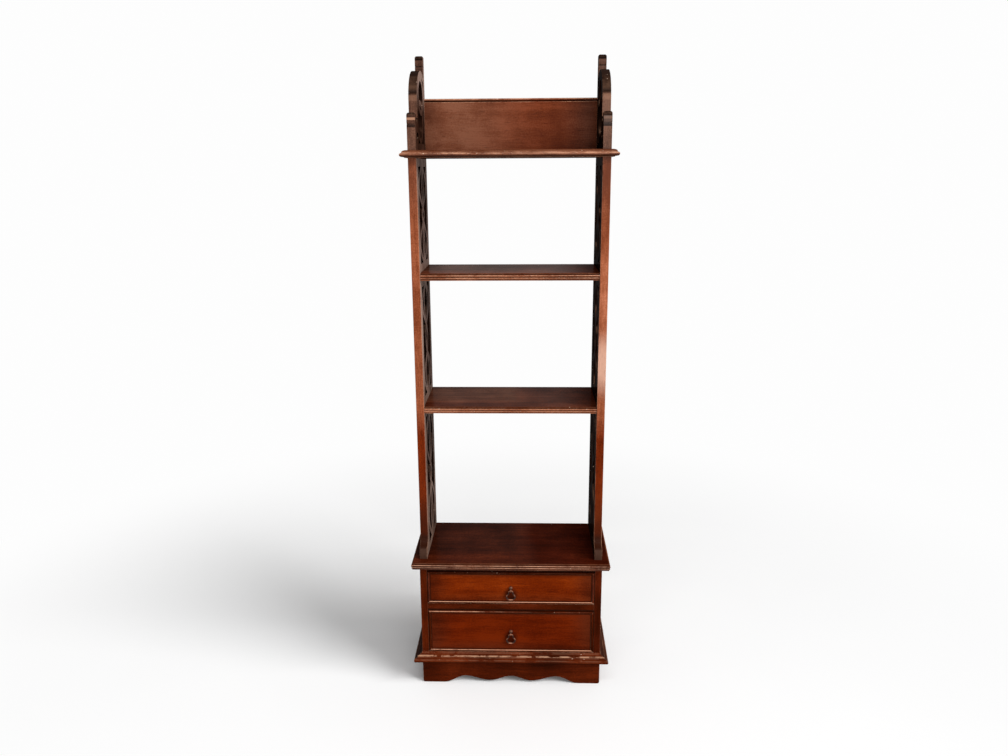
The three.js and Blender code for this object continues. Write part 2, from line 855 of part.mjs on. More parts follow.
const bossDrop = 0.5; // below the middle of the opening
const bossRadius = 4;
const bossHeight = 4.2;
const bossRimHeight = 1.2;
const shankRadius = 1.8;
const shankGap = 0.2;
const shankProud = 1.5; // of the shank past the nut
const nutRadius = 4.5;
const nutThickness = 3;
const nutSides = 6;
const eyeDrop = 5.2; // from the boss's middle down to the eye
const eyeForward = 4; // from the drawer front to the eye's axis
const eyeRadius = 3.1;
const eyeHoleRadius = 1.75;
const eyeWidth = 2.6;
const bailWireRadius = 1.25; // in the eye
const bailFootRadius = 2; // at the foot, where the drop is thickest
const bailHalfWidth = 9;
const bailDrop = 20.8;
const roundSegments = 16;

// Half of the drop, from its top to its foot, as shares of the half width and of the drop: a level
// stretch in the eye, a narrow waist, a shoulder and a wide crescent.
const dropShares = [
  [0, 0],
  [0.27, 0.015],
  [0.45, 0.1],
  [0.5, 0.24],
  [0.63, 0.375],
  [0.88, 0.5],
  [1, 0.68],
  [0.82, 0.87],
  [0.44, 0.975],
  [0, 1],
];

function pull(name, bossZ) {
  const dome = arcPoints(0, bossRimHeight, bossRadius, bossHeight - bossRimHeight, 0, 90, beadSteps);
  const shankBack = -drawerFrontThickness - nutThickness - shankProud;
  const profile = [
    [0, shankBack],
    [shankRadius, shankBack],
    [shankRadius, 0],
    [bossRadius, 0],
    ...dome.slice(0, -1),
    [0, bossHeight],
  ];
  const boss = turnedAlongY(profile, 0, caseFrontY, bossZ, roundSegments);
  const eyeY = caseFrontY - eyeForward;
  const eyeZ = bossZ - eyeDrop;
  const halfEye = eyeWidth / 2;
  const neck = block(-halfEye, halfEye, eyeY, caseFrontY, eyeZ, bossZ);
  const eye = rodAlongX(eyeRadius, -halfEye, halfEye, eyeY, eyeZ, roundSegments);
  const holeEnd = halfEye + overrun;
  const eyeHole = rodAlongX(eyeHoleRadius, -holeEnd, holeEnd, eyeY, eyeZ, roundSegments);
  add(`${name}_pull_boss`, boss.add(neck).add(eye).subtract(eyeHole), "agedBrass");

  const nutOutline = polygon(arcPoints(0, bossZ, nutRadius, nutRadius, 0, 360, nutSides).slice(1));
  const bore = new THREE.Path();
  bore.absarc(0, bossZ, shankRadius + shankGap, 0, 2 * Math.PI, true);
  nutOutline.holes.push(bore);
  const nutFrontY = caseFrontY + drawerFrontThickness;
  const nut = alongY(nutOutline, nutFrontY, nutFrontY + nutThickness);
  add(`${name}_pull_nut`, nut, "agedBrass");
  add(`${name}_pull_bail`, bail(eyeY, eyeZ), "agedBrass");
}

const bailSteps = 56;
const bailSides = 8;

function bail(y, topZ) {
  const half = dropShares.map(([across, down]) => [across * bailHalfWidth, topZ - down * bailDrop]);
  const otherHalf = half.slice(1, -1).reverse().map(([x, z]) => [-x, z]);
  const points = [...half, ...otherHalf].map(([x, z]) => new THREE.Vector3(x, y, z));
  const line = new THREE.CatmullRomCurve3(points, true);
  const wire = new THREE.TubeGeometry(line, bailSteps, bailWireRadius, bailSides, true);
  const surface = wire.attributes.position;
  for (let i = 0; i < surface.count; i += 1) {
    const step = Math.floor(i / (bailSides + 1)) % bailSteps;
    const middle = line.getPointAt(step / bailSteps);
    const down = (topZ - middle.z) / bailDrop;
    const swell = 1 + (bailFootRadius / bailWireRadius - 1) * down;
    const place = new THREE.Vector3().fromBufferAttribute(surface, i).sub(middle).multiplyScalar(swell);
    place.add(middle);
    surface.setXYZ(i, place.x, place.y, place.z);
  }
  return solidFrom(wire);
}

// The whole, from the floor up

add("apron_front", apronFront(), "darkMahogany");
addPair("apron", apronSide(), "darkMahogany");
add("apron_back", apronBack(), "insideWood");
addPair("corner_block_front", cornerBlock(caseFrontY + apronThickness, cornerBlockLeg), "insideWood");
addPair("corner_block_rear", cornerBlock(backY - apronBackThickness, -cornerBlockLeg), "insideWood");
add("plinth_moulding_front", plinthMouldingFront(), "mahogany");
addPair("plinth_moulding", plinthMouldingSide(), "mahogany");
addPair("case_side", caseSide(), "darkMahogany");
add("case_back", caseBack(), "insideWood");
add("case_bottom", caseBottom(), "insideWood");
add("rail_bottom", rail(apronHeight, lowerOpeningZ), "darkMahogany");
add("rail_middle", rail(middleRailZ, upperOpeningZ), "darkMahogany");
add("rail_top", rail(topRailZ, caseTopZ), "darkMahogany");
addPair("runner", sideStrip(middleRailZ, upperOpeningZ), "insideWood");
addPair("kicker", sideStrip(topRailZ, caseTopZ), "insideWood");
drawer("drawer_lower", lowerOpeningZ, lowerOpeningHeight);
drawer("drawer_upper", upperOpeningZ, upperOpeningHeight);
add("base_top", baseTop(), "mahogany");
addPair("fret_side", fretSide(), "mahogany");
add("shelf_lower", shelf(lowerShelfZ, lowerShelfThickness), "mahogany");
add("shelf_upper", shelf(upperShelfZ, upperShelfThickness), "mahogany");
add("shelf_top", topShelf(), "mahogany");
addPair("gable", gable(), "mahogany");
add("gallery_back", galleryBack(), "mahogany");

export default furniture;
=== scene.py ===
# %% [markdown]
# A tall, narrow etagere in polished mahogany. Two pierced side boards carry three shelves and a
# gallery, and stand on a low case with two drawers. Every board, joint and moving part comes from
# the measured model. This lesson gives each of them its edges and its finish, and sets up the
# studio in which it is looked at.

# %% Load the measured model
import json
import math

import bmesh
import bpy
from mathutils import Matrix, Vector
from mathutils.bvhtree import BVHTree

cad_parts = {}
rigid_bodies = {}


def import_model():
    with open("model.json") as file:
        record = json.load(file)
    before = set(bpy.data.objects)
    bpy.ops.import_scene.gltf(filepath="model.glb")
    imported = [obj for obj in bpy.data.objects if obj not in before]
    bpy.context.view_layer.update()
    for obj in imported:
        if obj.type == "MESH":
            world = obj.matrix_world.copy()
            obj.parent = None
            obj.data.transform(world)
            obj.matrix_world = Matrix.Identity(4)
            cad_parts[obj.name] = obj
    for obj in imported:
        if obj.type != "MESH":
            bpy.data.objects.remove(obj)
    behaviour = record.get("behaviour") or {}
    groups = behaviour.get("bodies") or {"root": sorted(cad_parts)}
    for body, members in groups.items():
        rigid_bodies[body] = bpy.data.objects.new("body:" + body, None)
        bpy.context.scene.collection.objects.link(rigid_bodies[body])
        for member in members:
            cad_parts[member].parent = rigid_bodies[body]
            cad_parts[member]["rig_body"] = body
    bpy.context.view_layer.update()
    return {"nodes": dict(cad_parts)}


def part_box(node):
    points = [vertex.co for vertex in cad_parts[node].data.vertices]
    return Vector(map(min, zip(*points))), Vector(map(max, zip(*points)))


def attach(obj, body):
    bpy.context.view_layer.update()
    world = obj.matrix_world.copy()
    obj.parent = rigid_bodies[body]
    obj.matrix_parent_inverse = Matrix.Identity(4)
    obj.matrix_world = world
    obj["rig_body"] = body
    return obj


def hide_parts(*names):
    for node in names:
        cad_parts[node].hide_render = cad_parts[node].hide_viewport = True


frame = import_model()
print("nodes", len(frame["nodes"]))

# %% [markdown]
# The camera stands a little above the top shelf and looks slightly down. Its place, its turn and
# its focal length were worked out from the edges of the shelves and posts, whose real sizes are
# known. A lens is given in millimetres on a 36 mm wide sensor, so the focal length in pixels is
# turned into that.

# %% Place the camera
IMAGE_WIDTH = 1008
FOCAL_PIXELS = 811.24
SENSOR_WIDTH = 36
CAMERA_PLACE = Vector((0.0335, -1.6651, 1.1046))
CAMERA_YAW = math.radians(-1.642)
CAMERA_DROP = math.radians(14.41)
CAMERA_ROLL = math.radians(-0.341)


def camera_axes(yaw, drop, roll):
    forward = Vector((math.sin(yaw) * math.cos(drop), math.cos(yaw) * math.cos(drop), -math.sin(drop)))
    level = Vector((math.cos(yaw), -math.sin(yaw), 0))
    up = level.cross(forward)
    right = level * math.cos(roll) + up * math.sin(roll)
    return Matrix((right, right.cross(forward), -forward)).transposed()


lens = bpy.data.cameras.new("camera")
lens.sensor_width = SENSOR_WIDTH
lens.lens = FOCAL_PIXELS / IMAGE_WIDTH * SENSOR_WIDTH
camera = bpy.data.objects.new("camera", lens)
bpy.context.scene.collection.objects.link(camera)
camera.matrix_world = Matrix.Translation(CAMERA_PLACE) @ camera_axes(
    CAMERA_YAW, CAMERA_DROP, CAMERA_ROLL
).to_4x4()
bpy.context.scene.camera = camera
bpy.context.scene.view_settings.view_transform = "Standard"
print("lens, mm", round(lens.lens, 2))

# %% [markdown]
# A finish is a tree of nodes. Written node by node it is hard to follow, so a few small classes
# let the sums in it read as sums: a Wire is a value that runs through the tree, and an operator
# on it adds a Math node. Tree holds the nodes, and its node method makes any other node. A Finish
# is the tree of a material; the studio's world has a tree of its own.


# %% Write shader sums as Python
class Wire:
    def __init__(self, tree, socket):
        self.tree = tree
        self.socket = socket

    def __add__(self, other):
        return self.tree.math("ADD", self, other)

    def __radd__(self, other):
        return self.tree.math("ADD", other, self)

    def __sub__(self, other):
        return self.tree.math("SUBTRACT", self, other)

    def __rsub__(self, other):
        return self.tree.math("SUBTRACT", other, self)

    def __mul__(self, other):
        return self.tree.math("MULTIPLY", self, other)

    def __rmul__(self, other):
        return self.tree.math("MULTIPLY", other, self)


def socket_named(sockets, name):
    if isinstance(name, int):
        return sockets[name]
    return next(socket for socket in sockets if socket.enabled and socket.name == name)


class Tree:
    def __init__(self, nodes_of):
        self.nodes_of = nodes_of

    def connect(self, value, socket):
        if isinstance(value, Wire):
            self.nodes_of.links.new(value.socket, socket)
        else:
            socket.default_value = value

    def node(self, kind, settings=None, values=None):
        made = self.nodes_of.nodes.new(kind)
        for name, setting in (settings or {}).items():
            if name == "stops":
                fill_ramp(made.color_ramp, setting)
            else:
                setattr(made, name, setting)
        for name, value in (values or {}).items():
            self.connect(value, socket_named(made.inputs, name))
        return {output.name: Wire(self, output) for output in made.outputs if output.enabled}

    def math(self, operation, first, second=0.0):
        return self.node("ShaderNodeMath", {"operation": operation}, {0: first, 1: second})["Value"]


class Finish(Tree):
    def __init__(self, name):
        self.material = bpy.data.materials.new(name)
        self.material.use_nodes = True
        super().__init__(self.material.node_tree)
        self.shader = self.nodes_of.nodes["Principled BSDF"]
        self.output = self.nodes_of.nodes["Material Output"]

    def surface(self, values):
        for name, value in values.items():
            self.connect(value, self.shader.inputs[name])


def fill_ramp(ramp, stops):
    while len(ramp.elements) < len(stops):
        ramp.elements.new(1)
    for element, (position, color) in zip(ramp.elements, stops):
        element.position = position
        element.color = color


# %% [markdown]
# Three helpers come back in every finish: noise at a given scale, a soft step that turns noise
# into patches, and a mix of two colours. A fourth takes a colour as it looks on screen, from 0 to
# 255, and gives the linear one that a shader works with.


# %% Make the helpers for every finish
def noise(finish, place, scale, detail, rough, seed):
    settings = {"noise_dimensions": "4D"}
    values = {"Vector": place, "W": seed, "Scale": scale, "Detail": detail, "Roughness": rough}
    return finish.node("ShaderNodeTexNoise", settings, values)["Fac"]


def soft_step(finish, value, low, high):
    settings = {"interpolation_type": "SMOOTHSTEP"}
    values = {"Value": value, "From Min": low, "From Max": high}
    return finish.node("ShaderNodeMapRange", settings, values)["Result"]


def mix(finish, share, first, second):
    settings = {"data_type": "RGBA"}
    values = {"Factor": share, "A": first, "B": second}
    return finish.node("ShaderNodeMix", settings, values)["Result"]


def from_screen(red, green, blue):
    def linear(value):
        share = value / 255
        return share / 12.92 if share <= 0.04045 else ((share + 0.055) / 1.055) ** 2.4

    return linear(red), linear(green), linear(blue), 1.0


# %% [markdown]
# Mahogany has fine, straight fibres, short dark pores and broad ribbons that shift from light to
# dark. All of them run along the board, so noise is stretched along the grain by a Mapping node.
# The grain of a real board also wanders a little, so a slow noise first bends the place at which
# the patterns are read.

# %% Bend and stretch the grain
GRAIN_X, GRAIN_Y, GRAIN_Z = range(3)
GRAIN_STRETCH = 0.055
PORE_STRETCH = 0.035
WANDER_SCALE = 5.0
WANDER = 0.02


def stretched(finish, place, grain, stretch):
    scale = [1.0, 1.0, 1.0]
    scale[grain] = stretch
    return finish.node("ShaderNodeMapping", None, {"Vector": place, "Scale": scale})["Vector"]


def vector_math(finish, operation, values):
    return finish.node("ShaderNodeVectorMath", {"operation": operation}, values)["Vector"]


def wandering(finish, place, seed):
    settings = {"noise_dimensions": "4D"}
    values = {"Vector": place, "W": seed, "Scale": WANDER_SCALE, "Detail": 1.0}
    drift = finish.node("ShaderNodeTexNoise", settings, values)["Color"]
    centred = vector_math(finish, "SUBTRACT", {0: drift, 1: (0.5, 0.5, 0.5)})
    small = vector_math(finish, "SCALE", {0: centred, "Scale": WANDER})
    return vector_math(finish, "ADD", {0: place, 1: small})


# %% [markdown]
# Each board reads its own Object coordinates, and its finish is made for the direction in which
# its grain runs. A ramp turns the sum of the patterns into three colours: the dark ribbons, the
# ground and the light ribbons. The patterns add different numbers to the board's seed, so that
# they don't line up. The old polish is a thin, patchy clear coat over the wood, so the wood itself
# has no shine of its own.
#
# Two marks follow the way that a surface faces. The parts of a moulding that face outwards and up
# are rubbed to a paler brown, which is partly wear and partly a painted highlight from the light
# above. A surface that faces down is painted darker, a painted shade that draws a dark line under
# every bead. The eased arrises carry an attribute, and are rubbed in broken stretches. A few small
# nicks show bare wood.

# %% Make the wood
FIBRE_SCALE, RIBBON_SCALE, FIGURE_SCALE = 520, 85, 24
CLOUD_SCALE, FLECK_SCALE, PORE_SCALE = 8, 380, 1500
SCUFF_SCALE, WEAR_SCALE, NICK_SCALE = 30, 16, 240
FIBRE_SHARE, RIBBON_SHARE, FIGURE_SHARE, FLECK_SHARE = 0.22, 0.2, 0.3, 0.28
DARK_STOP, MIDDLE_STOP, LIGHT_STOP = 0.39, 0.5, 0.61
CREST_OUTWARD, CREST_UPWARD = 0.8, 0.6
CREST_START, CREST_FULL = 0.93, 0.995
UNDERCUT_START, UNDERCUT_FULL = 0.05, 0.6
SCUFF_START, SCUFF_FULL = 0.5, 0.75
NICK_START, NICK_FULL, NICK_SHARE = 0.7, 0.74, 0.7
PORE_START, PORE_FULL, PORE_SHARE = 0.6, 0.72, 0.5
# Painted shade: faces that look down, and the lower edges of the rails, are painted towards this dark
# colour.
UNDERSIDE_SHADE_SHARE = 0.75
PORE_DARK = from_screen(20, 7, 3)
PAINTED_SHADE_DARK = from_screen(26, 11, 6)
NICK_PALE = from_screen(232, 200, 174)
RELIEF_STRENGTH = 0.25
RELIEF_DEPTH = 0.0004


class Wood:
    def __init__(self, name, grain, seed):
        self.finish = Finish(name)
        self.seed = seed
        coordinates = self.finish.node("ShaderNodeTexCoord")
        self.place = coordinates["Object"]
        bent = wandering(self.finish, self.place, seed)
        along = stretched(self.finish, bent, grain, GRAIN_STRETCH)
        pore_place = stretched(self.finish, bent, grain, PORE_STRETCH)
        self.fibre = noise(self.finish, along, FIBRE_SCALE, 3, 0.6, seed)
        self.ribbon = noise(self.finish, along, RIBBON_SCALE, 2, 0.5, seed + 1)
        self.figure = noise(self.finish, along, FIGURE_SCALE, 2, 0.5, seed + 2)
        self.cloud = noise(self.finish, self.place, CLOUD_SCALE, 3, 0.55, seed + 3)
        self.fleck = noise(self.finish, self.place, FLECK_SCALE, 2, 0.6, seed + 7)
        pore_noise = noise(self.finish, pore_place, PORE_SCALE, 1, 0.5, seed + 4)
        self.pores = self.step(pore_noise, PORE_START, PORE_FULL)
        self.scuffs = self.patches(SCUFF_SCALE, SCUFF_START, SCUFF_FULL, 6, 4, 0.7)
        facing = self.finish.node("ShaderNodeSeparateXYZ", None, {"Vector": coordinates["Normal"]})
        self.up = facing["Z"]

    def patches(self, scale, low, high, shift, detail, rough):
        field = noise(self.finish, self.place, scale, detail, rough, self.seed + shift)
        return self.step(field, low, high)

    def axis(self, name):
        return self.finish.node("ShaderNodeSeparateXYZ", None, {"Vector": self.place})[name]

    def distance_from(self, point):
        values = {0: self.place, 1: point}
        return self.finish.node("ShaderNodeVectorMath", {"operation": "DISTANCE"}, values)["Value"]

    def ragged(self, value, amount):
        return value + (self.cloud - 0.5) * amount

    def step(self, value, low, high):
        return soft_step(self.finish, value, low, high)

    def band(self, value, low, high, soft=0.001):
        return self.step(value, low - soft, low) * (1 - self.step(value, high, high + soft))

    def most(self, first, second):
        return self.finish.math("MAXIMUM", first, second)

    def mix(self, share, first, second):
        return mix(self.finish, share, first, second)

    def colored(self, colors, blotch=0.5):
        dark, middle, light = (from_screen(*color) for color in colors)
        ramp = {"stops": [(DARK_STOP, dark), (MIDDLE_STOP, middle), (LIGHT_STOP, light)]}
        ribbons = self.fibre * FIBRE_SHARE + self.ribbon * RIBBON_SHARE
        grain = ribbons + self.figure * FIGURE_SHARE + self.fleck * FLECK_SHARE
        tone = self.ragged(grain, blotch)
        return self.finish.node("ShaderNodeValToRGB", ramp, {"Fac": tone})["Color"]

    def crest(self):
        outward = self.finish.math("SQRT", 1 - self.up * self.up)
        return self.step(outward * CREST_OUTWARD + self.up * CREST_UPWARD, CREST_START, CREST_FULL)

    def dress(self, bare, gloss, coat, wear_and_highlight_color, crest_wear_and_highlight=0.6, arris_wear=0.4, spared=0.38, span=0.24):
        finish = self.finish
        grainy = self.mix(self.pores * PORE_SHARE, bare, PORE_DARK)
        # Painted shade: a face that looks down is painted darker and takes less coat.
        shaded_underside = self.step(self.up * -1, UNDERCUT_START, UNDERCUT_FULL) * UNDERSIDE_SHADE_SHARE
        underside_shaded = self.mix(shaded_underside, grainy, PAINTED_SHADE_DARK)
        arris = finish.node("ShaderNodeAttribute", {"attribute_name": "arris"})["Fac"]
        # The pale crests are partly wear and partly a painted highlight from the light above.
        wear_and_highlight_reach = self.most(self.crest() * crest_wear_and_highlight, arris * arris_wear)
        rubbed_and_highlit = wear_and_highlight_reach * self.patches(WEAR_SCALE, spared, spared + span, 5, 6, 0.8)
        nicks = self.patches(NICK_SCALE, NICK_START, NICK_FULL, 8, 1, 0.5)
        nicked = self.most(self.crest(), arris) * nicks * NICK_SHARE
        height = self.fibre * 0.3 + (1 - self.pores) * 0.5 + self.scuffs * 0.2
        relief = {"Strength": RELIEF_STRENGTH, "Distance": RELIEF_DEPTH, "Height": height}
        finish.surface(
            {
                "Base Color": self.mix(nicked, self.mix(rubbed_and_highlit, underside_shaded, wear_and_highlight_color), NICK_PALE),
                "Roughness": self.cloud * 0.16 + self.scuffs * 0.1 + gloss,
                "Specular IOR Level": 0.0,
                "Coat Weight": (1 - shaded_underside) * (0.7 + self.cloud * 0.6) * coat,
                "Coat Roughness": 0.2,
                "Coat IOR": 1.5,
                "Normal": finish.node("ShaderNodeBump", None, relief)["Normal"],
            }
        )
        return finish.material


# %% [markdown]
# The same wood looks different from place to place. Each finish is three colours, given as they
# look on screen. The outer faces of the pierced boards are dark. The inner face of the right one is
# painted dark, a painted shade, and the walls that the saw left are painted nearly black, partly
# painted shade inside the piercings and partly dirt. The case and the aprons are stained a deep red
# brown under a very thin coat.

# %% Mix the finishes of the plain boards
# The pale colour of rubbed crests and arrises, which also serves for painted highlights.
WEAR_AND_HIGHLIGHT_PALE = from_screen(214, 160, 128)
SATIN, SAWN = 0.35, 0.6
FACE_COAT, CASE_COAT, THIN_COAT, COAT, MOULDING_COAT = 0.02, 0.025, 0.05, 0.12, 0.25
# Painted shade: the inner face of the right pierced board is painted dark.
FACE_RIGHT = ((18, 8, 5), (30, 15, 10), (48, 27, 19))
FACE_OUTER = ((40, 20, 12), (62, 33, 21), (88, 52, 36))
# The sawn walls are painted nearly black, partly painted shade inside the piercings and partly dirt.
CUT = ((14, 7, 4), (26, 13, 8), (40, 21, 14))
CASE = ((42, 11, 1), (62, 18, 2), (84, 29, 8))
APRON = ((44, 12, 2), (66, 19, 3), (90, 31, 8))
LEFT_STILE = ((52, 14, 2), (72, 21, 3), (95, 34, 8))
RIGHT_STILE = ((47, 12, 1), (65, 18, 3), (86, 29, 8))


def plain_wood(name, grain, seed, colors, gloss=SATIN, coat=COAT, wear_and_highlight_color=WEAR_AND_HIGHLIGHT_PALE, **wear_and_highlight_settings):
    wood = Wood(name, grain, seed)
    return wood.dress(wood.colored(colors), gloss, coat, wear_and_highlight_color, **wear_and_highlight_settings)


right_look = {"coat": FACE_COAT, "crest_wear_and_highlight": 0.2}
cut_look = {"gloss": SAWN, "coat": FACE_COAT, "crest_wear_and_highlight": 0.1}
rail_look = {"coat": CASE_COAT, "arris_wear": 0.2}
stile_look = {"coat": CASE_COAT, "arris_wear": 0.1}
outer_look = {"coat": THIN_COAT, "crest_wear_and_highlight": 0.2}
finishes = {
    "face_outer": plain_wood("outer_face_mahogany", GRAIN_Z, 110, FACE_OUTER, **outer_look),
    "face_right": plain_wood("right_face_mahogany", GRAIN_Z, 60, FACE_RIGHT, **right_look),
    "cut": plain_wood("cut_mahogany", GRAIN_Z, 5, CUT, **cut_look),
    "case_x": plain_wood("rail_mahogany", GRAIN_X, 6, CASE, **rail_look),
    "apron_x": plain_wood("front_apron_mahogany", GRAIN_X, 17, APRON, **rail_look),
    "case_y": plain_wood("end_apron_mahogany", GRAIN_Y, 7, APRON, **rail_look),
    "stile_left": plain_wood("left_case_side_mahogany", GRAIN_Z, 8, LEFT_STILE, **stile_look),
    "stile_right": plain_wood("right_case_side_mahogany", GRAIN_Z, 18, RIGHT_STILE, **stile_look),
}
print("finishes of the plain boards", sorted(finishes))

# %% [markdown]
# A bead frames each drawer front. The bottom beads are rubbed bright by cloths and fingers, which
# is partly wear and partly a painted highlight from the light above. The upper drawer's top bead
# lies in the shade of the base top and is painted dark, a painted shade. The lower drawer's top bead
# is bright at its left and fades towards the right. The upright beads take less of the rubbed and
# highlighted colour than the bottom ones, and those of the lower drawer are painted darker, a
# painted shade.

# %% Mix the finishes of the beads
BEAD = ((50, 16, 5), (76, 27, 10), (108, 48, 25))
BEAD_FADE_START, BEAD_FADE_END = -0.09, 0.02
BEAD_LEAST_WEAR, BEAD_FADING_WEAR = 0.12, 0.8


def fading_bead():
    wood = Wood("fading_bead_mahogany", GRAIN_X, 100)
    at_left = 1 - wood.step(wood.axis("X"), BEAD_FADE_START, BEAD_FADE_END)
    color = wood.mix(at_left, wood.colored(CASE), wood.colored(BEAD))
    return wood.dress(color, SATIN, CASE_COAT, WEAR_AND_HIGHLIGHT_PALE, at_left * BEAD_FADING_WEAR + BEAD_LEAST_WEAR)


# The bright bottom beads are partly wear and partly a painted highlight.
bright_look = {"crest_wear_and_highlight": 0.85, "spared": 0.26}
# Painted shade: the upper drawer's top bead is painted dark.
dark_look = {"coat": CASE_COAT, "crest_wear_and_highlight": 0.05}
upright_look = {"crest_wear_and_highlight": 0.25, "arris_wear": 0.1}
# Painted shade: the lower drawer's upright beads are painted darker.
shaded_look = {"coat": CASE_COAT, "crest_wear_and_highlight": 0.08}
beads = {
    "bead_bright": plain_wood("bright_bead_mahogany", GRAIN_X, 9, BEAD, **bright_look),
    "bead_dark": plain_wood("dark_bead_mahogany", GRAIN_X, 120, CASE, **dark_look),
    "bead_fading": fading_bead(),
    "bead_upright": plain_wood("upright_bead_mahogany", GRAIN_Z, 10, BEAD, **upright_look),
    "bead_shaded": plain_wood("shaded_bead_mahogany", GRAIN_Z, 140, CASE, **shaded_look),
}
finishes.update(beads)
print("finishes of the beads", sorted(beads))

# %% [markdown]
# The plinth moulding stands where feet and brooms knock it. The arris along the top of its fillet
# is painted pale in broken dashes, partly lost stain and partly a painted highlight, and the torus
# below it is only a little worn. The lengths on the ends are painted darker, a painted shade. The
# lower edge of the middle and top rails, where they meet the drawer below, is painted dark, a
# painted shadow of the gap.

# %% Mix the finishes of the plinth moulding and the rails
TORUS = ((56, 18, 5), (84, 30, 9), (112, 49, 22))
# Painted shade: the end lengths of the moulding are painted darker.
SHADED_END_TORUS = ((36, 15, 9), (54, 26, 16), (78, 42, 28))
RUBBED_AND_HIGHLIGHT_PALE = from_screen(244, 190, 152)
FILLET_RISE = 0.014
FILLET_LINE_BELOW, FILLET_LINE_ABOVE, FILLET_LINE_SOFT = 0.0006, 0.0003, 0.0005
DASH_SCALE, DASH_START, DASH_FULL, DASH_SHARE = 30, 0.45, 0.52, 0.4
GAP_SHADOW_FULL_HEIGHT, GAP_SHADOW_HEIGHT, GAP_SHADOW_SHARE = 0.002, 0.0045, 0.75


def front_moulding():
    wood = Wood("front_moulding_mahogany", GRAIN_X, 70)
    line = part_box("plinth_moulding_front")[0].z + FILLET_RISE
    low, high = line - FILLET_LINE_BELOW, line + FILLET_LINE_ABOVE
    dashes = wood.patches(DASH_SCALE, DASH_START, DASH_FULL, 9, 6, 0.8)
    dashes = wood.band(wood.axis("Z"), low, high, FILLET_LINE_SOFT) * dashes
    # The pale dashes along the fillet are partly lost stain and partly a painted highlight.
    color = wood.mix(dashes * DASH_SHARE, wood.colored(TORUS), RUBBED_AND_HIGHLIGHT_PALE)
    return wood.dress(color, SATIN, CASE_COAT, RUBBED_AND_HIGHLIGHT_PALE, 0.05, 0.6, spared=0.43, span=0.09)


def rail(node_name, seed):
    wood = Wood(f"{node_name}_mahogany", GRAIN_X, seed)
    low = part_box(node_name)[0].z
    # Painted shadow: the lower edge of the rail, over the gap to the drawer below, is painted dark.
    gap_shadow = 1 - wood.step(wood.axis("Z"), low + GAP_SHADOW_FULL_HEIGHT, low + GAP_SHADOW_HEIGHT)
    color = wood.mix(gap_shadow * GAP_SHADOW_SHARE, wood.colored(CASE), PAINTED_SHADE_DARK)
    return wood.dress(color, SATIN, CASE_COAT, WEAR_AND_HIGHLIGHT_PALE, arris_wear=0.05)


finishes["torus_x"] = front_moulding()
finishes["torus_y"] = plain_wood("end_moulding_mahogany", GRAIN_Y, 80, SHADED_END_TORUS, **outer_look)
finishes["rail_middle"] = rail("rail_middle", 130)
finishes["rail_top"] = rail("rail_top", 131)
print("finishes so far", len(finishes))

# %% [markdown]
# The tops of the shelves mirror the pale room in their middle, so the coat is thickest there. Near
# the side boards the coat is thin and the tops are painted dark, a painted shade and reflection of
# the boards. Towards the front and in the right half they are redder, and the right half of the base
# top is a deep red brown. A little noise makes each of these borders ragged.

# %% Mix the finishes of the shelf tops
SHADED = ((26, 8, 4), (42, 17, 10), (62, 31, 21))
RED_TOP = ((54, 14, 3), (82, 28, 9), (112, 48, 22))
DEEP_TOP = ((44, 11, 3), (62, 17, 6), (84, 30, 13))
TOP_OF_BASE = ((38, 11, 4), (60, 22, 9), (84, 35, 17))
TOP_OF_LOWER = ((56, 24, 12), (84, 46, 30), (112, 68, 48))
TOP_OF_UPPER = ((54, 26, 14), (80, 46, 30), (108, 68, 50))
LEFT_SHADE_SPAN, RIGHT_SHADE_SPAN = 0.078, 0.1
ACROSS_RAGGED, INWARDS_RAGGED = 0.06, 0.05
RED_FULL_DEPTH, RED_DEPTH = 0.02, 0.07
RIGHT_RED_SPAN = 0.03
DEEP_START, DEEP_FULL, BASE_DEEP = 0.02, 0.06, 0.85
LOWER_TOP_COAT = 0.09


def shelf_top(node_name, seed, colors, deep_share, coat):
    wood = Wood(f"{node_name}_top_mahogany", GRAIN_X, seed)
    inner_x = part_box("shelf_lower")[1].x
    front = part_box(node_name)[0].y
    across = wood.ragged(wood.axis("X"), ACROSS_RAGGED)
    inwards = wood.ragged(wood.axis("Y"), INWARDS_RAGGED)
    open_left = wood.step(across, -inner_x, LEFT_SHADE_SPAN - inner_x)
    open_right = 1 - wood.step(across, inner_x - RIGHT_SHADE_SPAN, inner_x)
    lit = open_left * 0.6 * open_right + open_right * 0.4
    # Painted shade and reflection: near the side boards the tops are painted dark.
    color = wood.mix(lit, wood.colored(SHADED), wood.colored(colors))
    near_front = 1 - wood.step(inwards, front + RED_FULL_DEPTH, front + RED_DEPTH)
    at_right = wood.step(across, 0.0, RIGHT_RED_SPAN)
    color = wood.mix(wood.most(near_front * 0.5, at_right * 0.45), color, wood.colored(RED_TOP))
    deep = wood.step(across, DEEP_START, DEEP_FULL) * deep_share
    color = wood.mix(deep, color, wood.colored(DEEP_TOP))
    return wood.dress(color, SATIN, (lit * 0.8 + 0.2) * (1 - deep * 0.8) * coat, WEAR_AND_HIGHLIGHT_PALE, 0.3, 0.3)


finishes["base_top_top"] = shelf_top("base_top", 2, TOP_OF_BASE, BASE_DEEP, THIN_COAT)
finishes["shelf_lower_top"] = shelf_top("shelf_lower", 30, TOP_OF_LOWER, 0.0, LOWER_TOP_COAT)
finishes["shelf_upper_top"] = shelf_top("shelf_upper", 40, TOP_OF_UPPER, 0.0, COAT)
finishes["shelf_top_top"] = shelf_top("shelf_top", 50, TOP_OF_UPPER, 0.0, COAT)
print("finishes so far", len(finishes))

